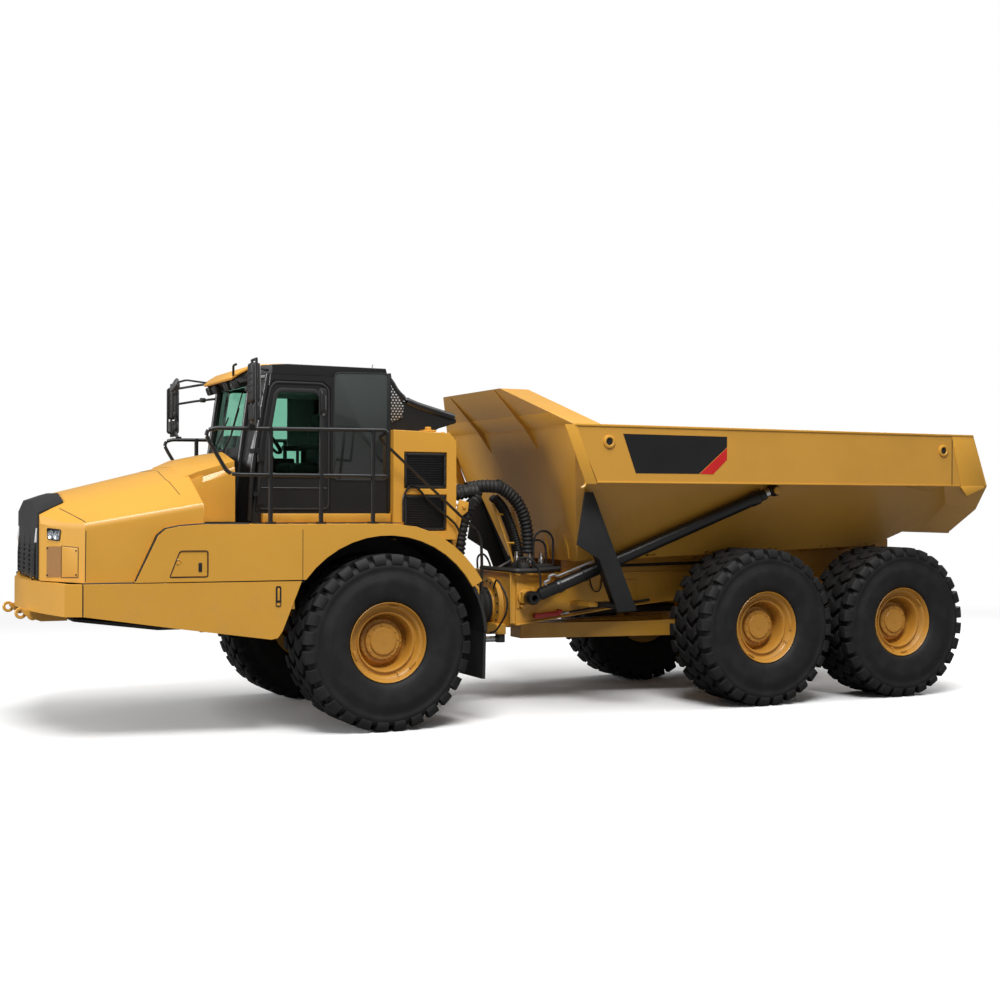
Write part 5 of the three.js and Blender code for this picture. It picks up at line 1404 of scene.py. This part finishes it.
# Hoists: capped stages with gland nuts, a clamped pipe, and bosses on the frame
hoist = {"low": (0.13, 0.72, 1.23), "top": (-2.6, 1.48, 2.446), "bore": 0.0625, "barrel": 0.078}
for end, label in bothEnds:
    low, top = (Vector((x, end * y, z)) for x, y, z in (hoist["low"], hoist["top"]))
    along = (top - low).normalized()
    reach = (top - low).length
    bore, wall = hoist["bore"], hoist["barrel"]
    barrel = [(0.0, 0.05), (0.055, 0.055), (wall, 0.08), (wall, 0.3), (0.083, 0.305), (0.083, 0.345),
              (wall, 0.35), (wall, reach - 0.34), (0.086, reach - 0.33), (0.086, reach - 0.235),
              (0.08, reach - 0.221), (bore, reach - 0.22), (bore, 0.14), (0.0, 0.135)]
    pieces = [turned(barrel, low, along, 36, "barrel")]
    pieces.append(turned(ringProfile(0.036, 0.066, 0.078, 0.05, 0.078),
                         low, (0, 1, 0), 28, "eye"))
    assemble("hoistBarrel." + label, pieces, blackPaint, "hoist_barrel_" + label, "black_paint",
                "hoist_barrel_" + label)
    stage = [(0.0485, 0.17), (0.062, 0.17), (0.062, reach - 0.205), (0.0675, reach - 0.2),
             (0.0675, reach - 0.145), (0.062, reach - 0.131), (0.0485, reach - 0.13), (0.0485, 0.17)]
    finishPiece(turned(stage, low, along, 32, "stage"), "hoistStage." + label, blackPaint,
                "hoist_stage_" + label, "rod_steel", "hoist_stage_" + label)
    rod = [(0.0, 0.235), (0.048, 0.24), (0.048, reach - 0.075), (0.052, reach - 0.07),
           (0.052, reach - 0.03), (0.0, reach - 0.02)]
    finishPiece(turned(rod, low, along, 28, "rod"), "hoistRod." + label, rodSteel, "hoist_rod_" + label,
                "rod_steel", "hoist_rod_" + label)
    eye = turned([(0.028, -0.058), (0.056, -0.06), (0.066, -0.045), (0.066, 0.045), (0.056, 0.06),
                  (0.028, 0.058), (0.028, -0.058)], top, (0, 1, 0), 28, "topEye")
    finishPiece(eye, "hoistEye." + label, blackPaint, "hoist_rod_" + label, "black_paint")
    over = Vector((0, 0, 1)) - along * along.z
    over.normalize()
    side = along.cross(over) * end
    foot = low + along * 0.2 + over * 0.07 + side * 0.03
    line = [foot, foot + over * 0.035, foot + along * 0.06 + over * 0.035,
            foot + along * 0.075 + over * 0.075, foot + along * 0.13 + over * 0.075,
            foot + along * 0.16 + over * 0.04, foot + along * 0.6 + over * 0.03]
    pipes = [tube(line, 0.014, 0.012, 8), tube([point - side * 0.04 for point in line[:6]], 0.013, 0.012, 8)]
    assemble("hoistPipes." + label, pipes, galvanised, "hoist_barrel_" + label, "rod_steel")
    bands = [turned([(0.079, -0.014), (0.086, -0.014), (0.086, 0.014), (0.079, 0.014), (0.079, -0.014)],
                    low + along * spot, along, 28, "band") for spot in (0.3, 0.62)]
    assemble("hoistBands." + label, bands, blackPaint, "hoist_barrel_" + label, "black_paint")
    boss = [turned([(0.0, 0.0), (0.085, 0.0), (0.09, 0.006), (0.09, 0.05), (0.07, 0.06), (0.0, 0.06)],
                   (0.13, end * 0.521, 1.23), (0, end, 0), 28, "boss"),
            sidePlate([(0.225, 1.4), (-0.02, 1.33), (0.04, 1.16), (0.225, 1.1)], end * 0.522, end * 0.536,
                      0.003),
            sidePlate([(0.2, 1.13), (-0.3, 1.42), (-0.36, 1.4), (0.16, 1.09)], end * 0.522, end * 0.6,
                      0.004)]
    assemble("hoistBoss." + label, boss, machinePaint, "rear_chassis", "yellow_paint")
    ends = Vector((1.5, end * 0.33, 0.745)), Vector((0.32, end * 0.3, 0.745))
    way = (ends[1] - ends[0]).normalized()
    steerRod = [(0.0, 0.365), (0.034, 0.37), (0.034, 1.1), (0.0, 1.12)]
    gland = [(0.0345, 0.7), (0.0535, 0.7), (0.0535, 0.76), (0.05, 0.778), (0.0345, 0.779), (0.0345, 0.7)]
    finishPiece(turned(gland, ends[0], way, 28, "gland"), "steerGland." + label, blackPaint,
                "steering_barrel_" + label, "black_paint")
    finishPiece(turned(steerRod, ends[0], way, 24, "steerRod"), "steerRod." + label, rodSteel,
                "steering_rod_" + label, "rod_steel")
print("cylinders made")

# Mudguards ahead of the middle wheels, cut to a point at the front
guardEdge = [(-0.145, 2.415), (-0.245, 2.415), (-0.8, 1.112), (-0.56, 1.1), (-0.33, 1.68), (-0.05, 1.845)]
for end, label in bothEnds:
    guard = [sidePlate(guardEdge, end * 1.43, end * 1.455, 0.004),
             block((-0.8, end * 0.9, 1.13), (-0.56, end * 1.44, 1.18), 0.006),
             sidePlate([(-0.215, 2.41), (-0.245, 2.41), (-0.8, 1.115), (-0.77, 1.115)], end * 0.95,
                       end * 1.44, 0.004)]
    assemble("mudguardSheet." + label, guard, blackPlastic, "rear_chassis", "black_paint",
                "mudguard_" + label)

# Rear frame: front box, top fittings, lock bar, pipes and the small loop
plateParts = [block((0.225, -0.53, 1.4915), (0.3, 0.53, 1.51), 0.005)]
for end in (1, -1):
    plateParts.append(plate([(0.284, end * 0.5, 0.93), (0.284, end * 0.5, 1.49), (0.3, end * 0.5, 1.49),
                             (0.3, end * 0.5, 0.93)], (0, end * 0.02, 0), 0.003))
    plateParts.append(sidePlate([(0.23, 0.91), (0.23, 0.925), (-1.08, 1.09), (-1.7, 1.145), (-1.7, 1.131),
                                 (-1.08, 1.076)], end * 0.52, end * 0.56, 0.003))
    plateParts.append(sidePlate([(0.23, 1.475), (0.23, 1.489), (-4.6, 1.489), (-4.6, 1.475)], end * 0.52,
                                end * 0.545, 0.003))
    plateParts.append(block((-1.35, end * 0.521 - 0.001, 1.12), (-1.05, end * 0.533 + 0.001, 1.4), 0.004))
plateParts += boltRow([(0.284, 0.27 * math.sin(a), 1.1 + 0.27 * math.cos(a)) for a in circle(16)],
                      (1, 0, 0), 0.016)
assemble("frameTrim", plateParts, machinePaint, "rear_chassis", "yellow_paint")
lockBar = [block((-0.3, 0.545, 0.955), (0.02, 0.6, 1.01), 0.008),
           disc((-0.3, 0.545, 1.0), 0.028, (0, 1, 0), 0.06, 0.006),
           disc((0.0, 0.545, 0.985), 0.032, (0, 1, 0), 0.06, 0.006)]
bar = joined("lockBar", lockBar)
pin = Vector((0, 0.57, 0.98))
tilt = Matrix.Translation(pin) @ Matrix.Rotation(0.09, 4, "Y") @ Matrix.Translation(-pin)
bar.data.transform(Matrix.Translation((0, 0, 0.03)) @ tilt)
finishPiece(bar, "lockBar", redPaint, "rear_chassis", "yellow_paint")
tip = [tube([(-0.31, 0.575, 1.035), (-0.42, 0.575, 1.046)], 0.016, 0, 10),
       turned([(0.0, 0.0), (0.024, 0.0), (0.024, 0.03), (0.0, 0.03)], (-0.36, 0.575, 1.04), (-1, 0, 0.1),
              12, "nut")]
assemble("lockBarTip", tip, rodSteel, "rear_chassis", "rod_steel")
dark = [tube([(-0.42, 0.575, 1.046), (-0.9, 0.56, 1.1), (-1.5, 0.56, 1.16)], 0.014, 0.05, 8),
        tube([(-0.715, 0.53, 1.423), (-0.735, 0.545, 1.3), (-0.8, 0.548, 1.25), (-0.86, 0.545, 1.3),
              (-0.868, 0.53, 1.42)], 0.008, 0.05, 8),
        tube([(-0.55, 0.6, 1.56), (-2.0, 0.62, 1.585), (-3.4, 0.62, 1.6)], 0.02, 0.1, 8),
        tube([(0.1, 0.25, 1.52), (-0.6, 0.25, 1.53), (-2.2, 0.25, 1.46)], 0.018, 0.06, 8),
        tube([(0.1, -0.25, 1.52), (-0.6, -0.25, 1.53), (-2.2, -0.25, 1.46)], 0.018, 0.06, 8)]
assemble("framePipes", dark, blackPlastic, "rear_chassis", "plastic")

# Hitch: bearing cap, boot and bolts, the frame's valves, and the machine's underside
pivotX = 0.7
hub = [turned([(0.062, 0.0), (0.14, 0.0), (0.15, 0.01), (0.15, 0.035), (0.11, 0.05), (0.062, 0.05),
               (0.062, 0.0)], (pivotX, 0, 1.4), (0, 0, 1), 36, "cap"),
       turned([(0.0, 0.0), (0.075, 0.0), (0.08, 0.01), (0.08, 0.03), (0.0, 0.034)], (pivotX, 0, 1.43),
              (0, 0, 1), 6, "nut")]
hub += boltRow([(pivotX + 0.12 * math.cos(a), 0.12 * math.sin(a), 1.435) for a in circle(10)], (0, 0, 1),
               0.012)
assemble("hitchCap", hub, machinePaint, "tractor", "yellow_paint")
boot = corrugated([(0.36, 0.0, 1.1), (0.43, 0.0, 1.1), (0.5, 0.0, 1.1), (0.58, 0.0, 1.1)], 0.205, 0.02,
                  0.055, "hitchBoot")
finishPiece(boot, "hitchBoot", hoseRubber, "hitch", "rubber")
ringBolts = boltRow([(0.346, 0.29 * math.sin(a), 1.1 + 0.29 * math.cos(a)) for a in circle(18)], (1, 0, 0),
                    0.015)
assemble("ringBolts", ringBolts, darkIron, "hitch", "dark_iron")
valves = [block((0.1, 0.34, 1.52), (0.2, 0.6, 1.62), 0.012),
          block((-0.22, 0.4, 1.52), (-0.02, 0.56, 1.6), 0.012),
          tube([(0.28, -0.3, 1.53), (0.28, 0.62, 1.53), (0.05, 0.62, 1.53), (-0.28, 0.61, 1.55)], 0.03,
               0.05, 10)]
valves += [tube([(0.15, y, 1.6), (0.15, y, top)], 0.022, 0, 10) for y,
           top in ((0.38, 1.66), (0.46, 1.67), (0.56, 1.66))]
assemble("frameValves", valves, darkIron, "rear_chassis", "dark_iron")
fittings = [turned([(0.0, 0.0), (0.03, 0.0), (0.033, 0.01), (0.033, 0.06), (0.026, 0.07), (0.026, 0.12),
                    (0.0, 0.12)], place, (0, 0, 1), 16, "fitting")
            for place in ((0.02, 0.45, 1.6), (0.06, 0.3, 1.6), (-0.1, 0.5, 1.6), (0.15, 0.38, 1.62))]
assemble("hoseFittings", fittings, rodSteel, "rear_chassis", "rod_steel")
guard = [block((4.2, -0.42, 1.11), (4.95, 0.42, 1.125), 0.004),
         block((3.5, -0.42, 1.12), (4.15, 0.42, 1.135), 0.004)]
guard += boltRow([(x, y, 1.105) for x in (3.55, 4.1, 4.25, 4.9) for y in (-0.36, 0.36)], (0, 0, -1), 0.014)
shaft = [(0.0, 0.0), (0.09, 0.0), (0.09, 0.03), (0.055, 0.05), (0.05, 0.1), (0.05, 0.5), (0.055, 0.55),
         (0.09, 0.57), (0.09, 0.6), (0.0, 0.6)]
for start, span, holder in (((2.5, 0.0, 1.0), 1.2, "tractor"), ((-0.32, 0.0, 1.02), -2.3, "rear_chassis"),
                            ((-2.7, 0.0, 1.02), -0.6, "rear_chassis")):
    profile = [(r, a * abs(span) / 0.6) for r, a in shaft]
    finishPiece(turned(profile, start, (1 if span > 0 else -1, 0, 0), 24, "driveShaft"),
                "driveShaft." + str(abs(int(start[0] * 10))), darkIron, holder, "dark_iron")
under = [block((2.75, -0.3, 1.2), (3.4, 0.3, 1.42), 0.04, 3),
         block((1.0, -0.3, 1.42), (1.9, 0.3, 1.8), 0.03, 3),
         block((1.25, 0.52, 1.45), (1.85, 0.88, 1.86), 0.05, 4),
         block((1.25, -0.88, 1.45), (1.85, -0.52, 1.86), 0.05, 4)]
assemble("underParts", guard + under, darkIron, "tractor", "dark_iron")
for x, name in ((2.2, "front"), (-2.39, "middle"), (-4.356, "rear")):
    holder = "tractor" if name == "front" else "rear_chassis"
    diff = turned([(0.0, -0.36), (0.12, -0.35), (0.2, -0.3), (0.25, -0.18), (0.275, 0.0), (0.25, 0.18),
                   (0.2, 0.3), (0.12, 0.35), (0.0, 0.36)], (x, 0, wheelHeight), (0, 1, 0), 32, "casing")
    ends = [turned([(0.14, 0.95), (0.2, 0.95), (0.215, 0.965), (0.215, 1.02), (0.2, 1.035), (0.14, 1.035)],
                   (x, 0, wheelHeight), (0, end, 0), 32, "brake") for end in (1, -1)]
    studs = boltRow([(x - 0.26, 0.16 * math.sin(a), wheelHeight + 0.16 * math.cos(a)) for a in circle(10)],
                    (-1, 0, 0), 0.012)
    assemble("axleCasing." + name, [diff] + ends + studs, machinePaint, holder, "yellow_paint")
flapBolts = []
for end in (1, -1):
    flapBolts += boltRow([(1.09, end * y, 1.38) for y in (1.06, 1.2, 1.34, 1.48, 1.58)], (-1, 0, 0), 0.012)
assemble("flapBolts", flapBolts, darkIron, "tractor", "dark_iron")
print("frame and underside dressed")

# Every CAD node that still shows takes its finish here
for name, node in nodes.items():
    if node.hide_render:
        continue
    node.data.materials.clear()
    node.data.materials.append(plainNodes[slotOf[name]])

print("all pieces finished")
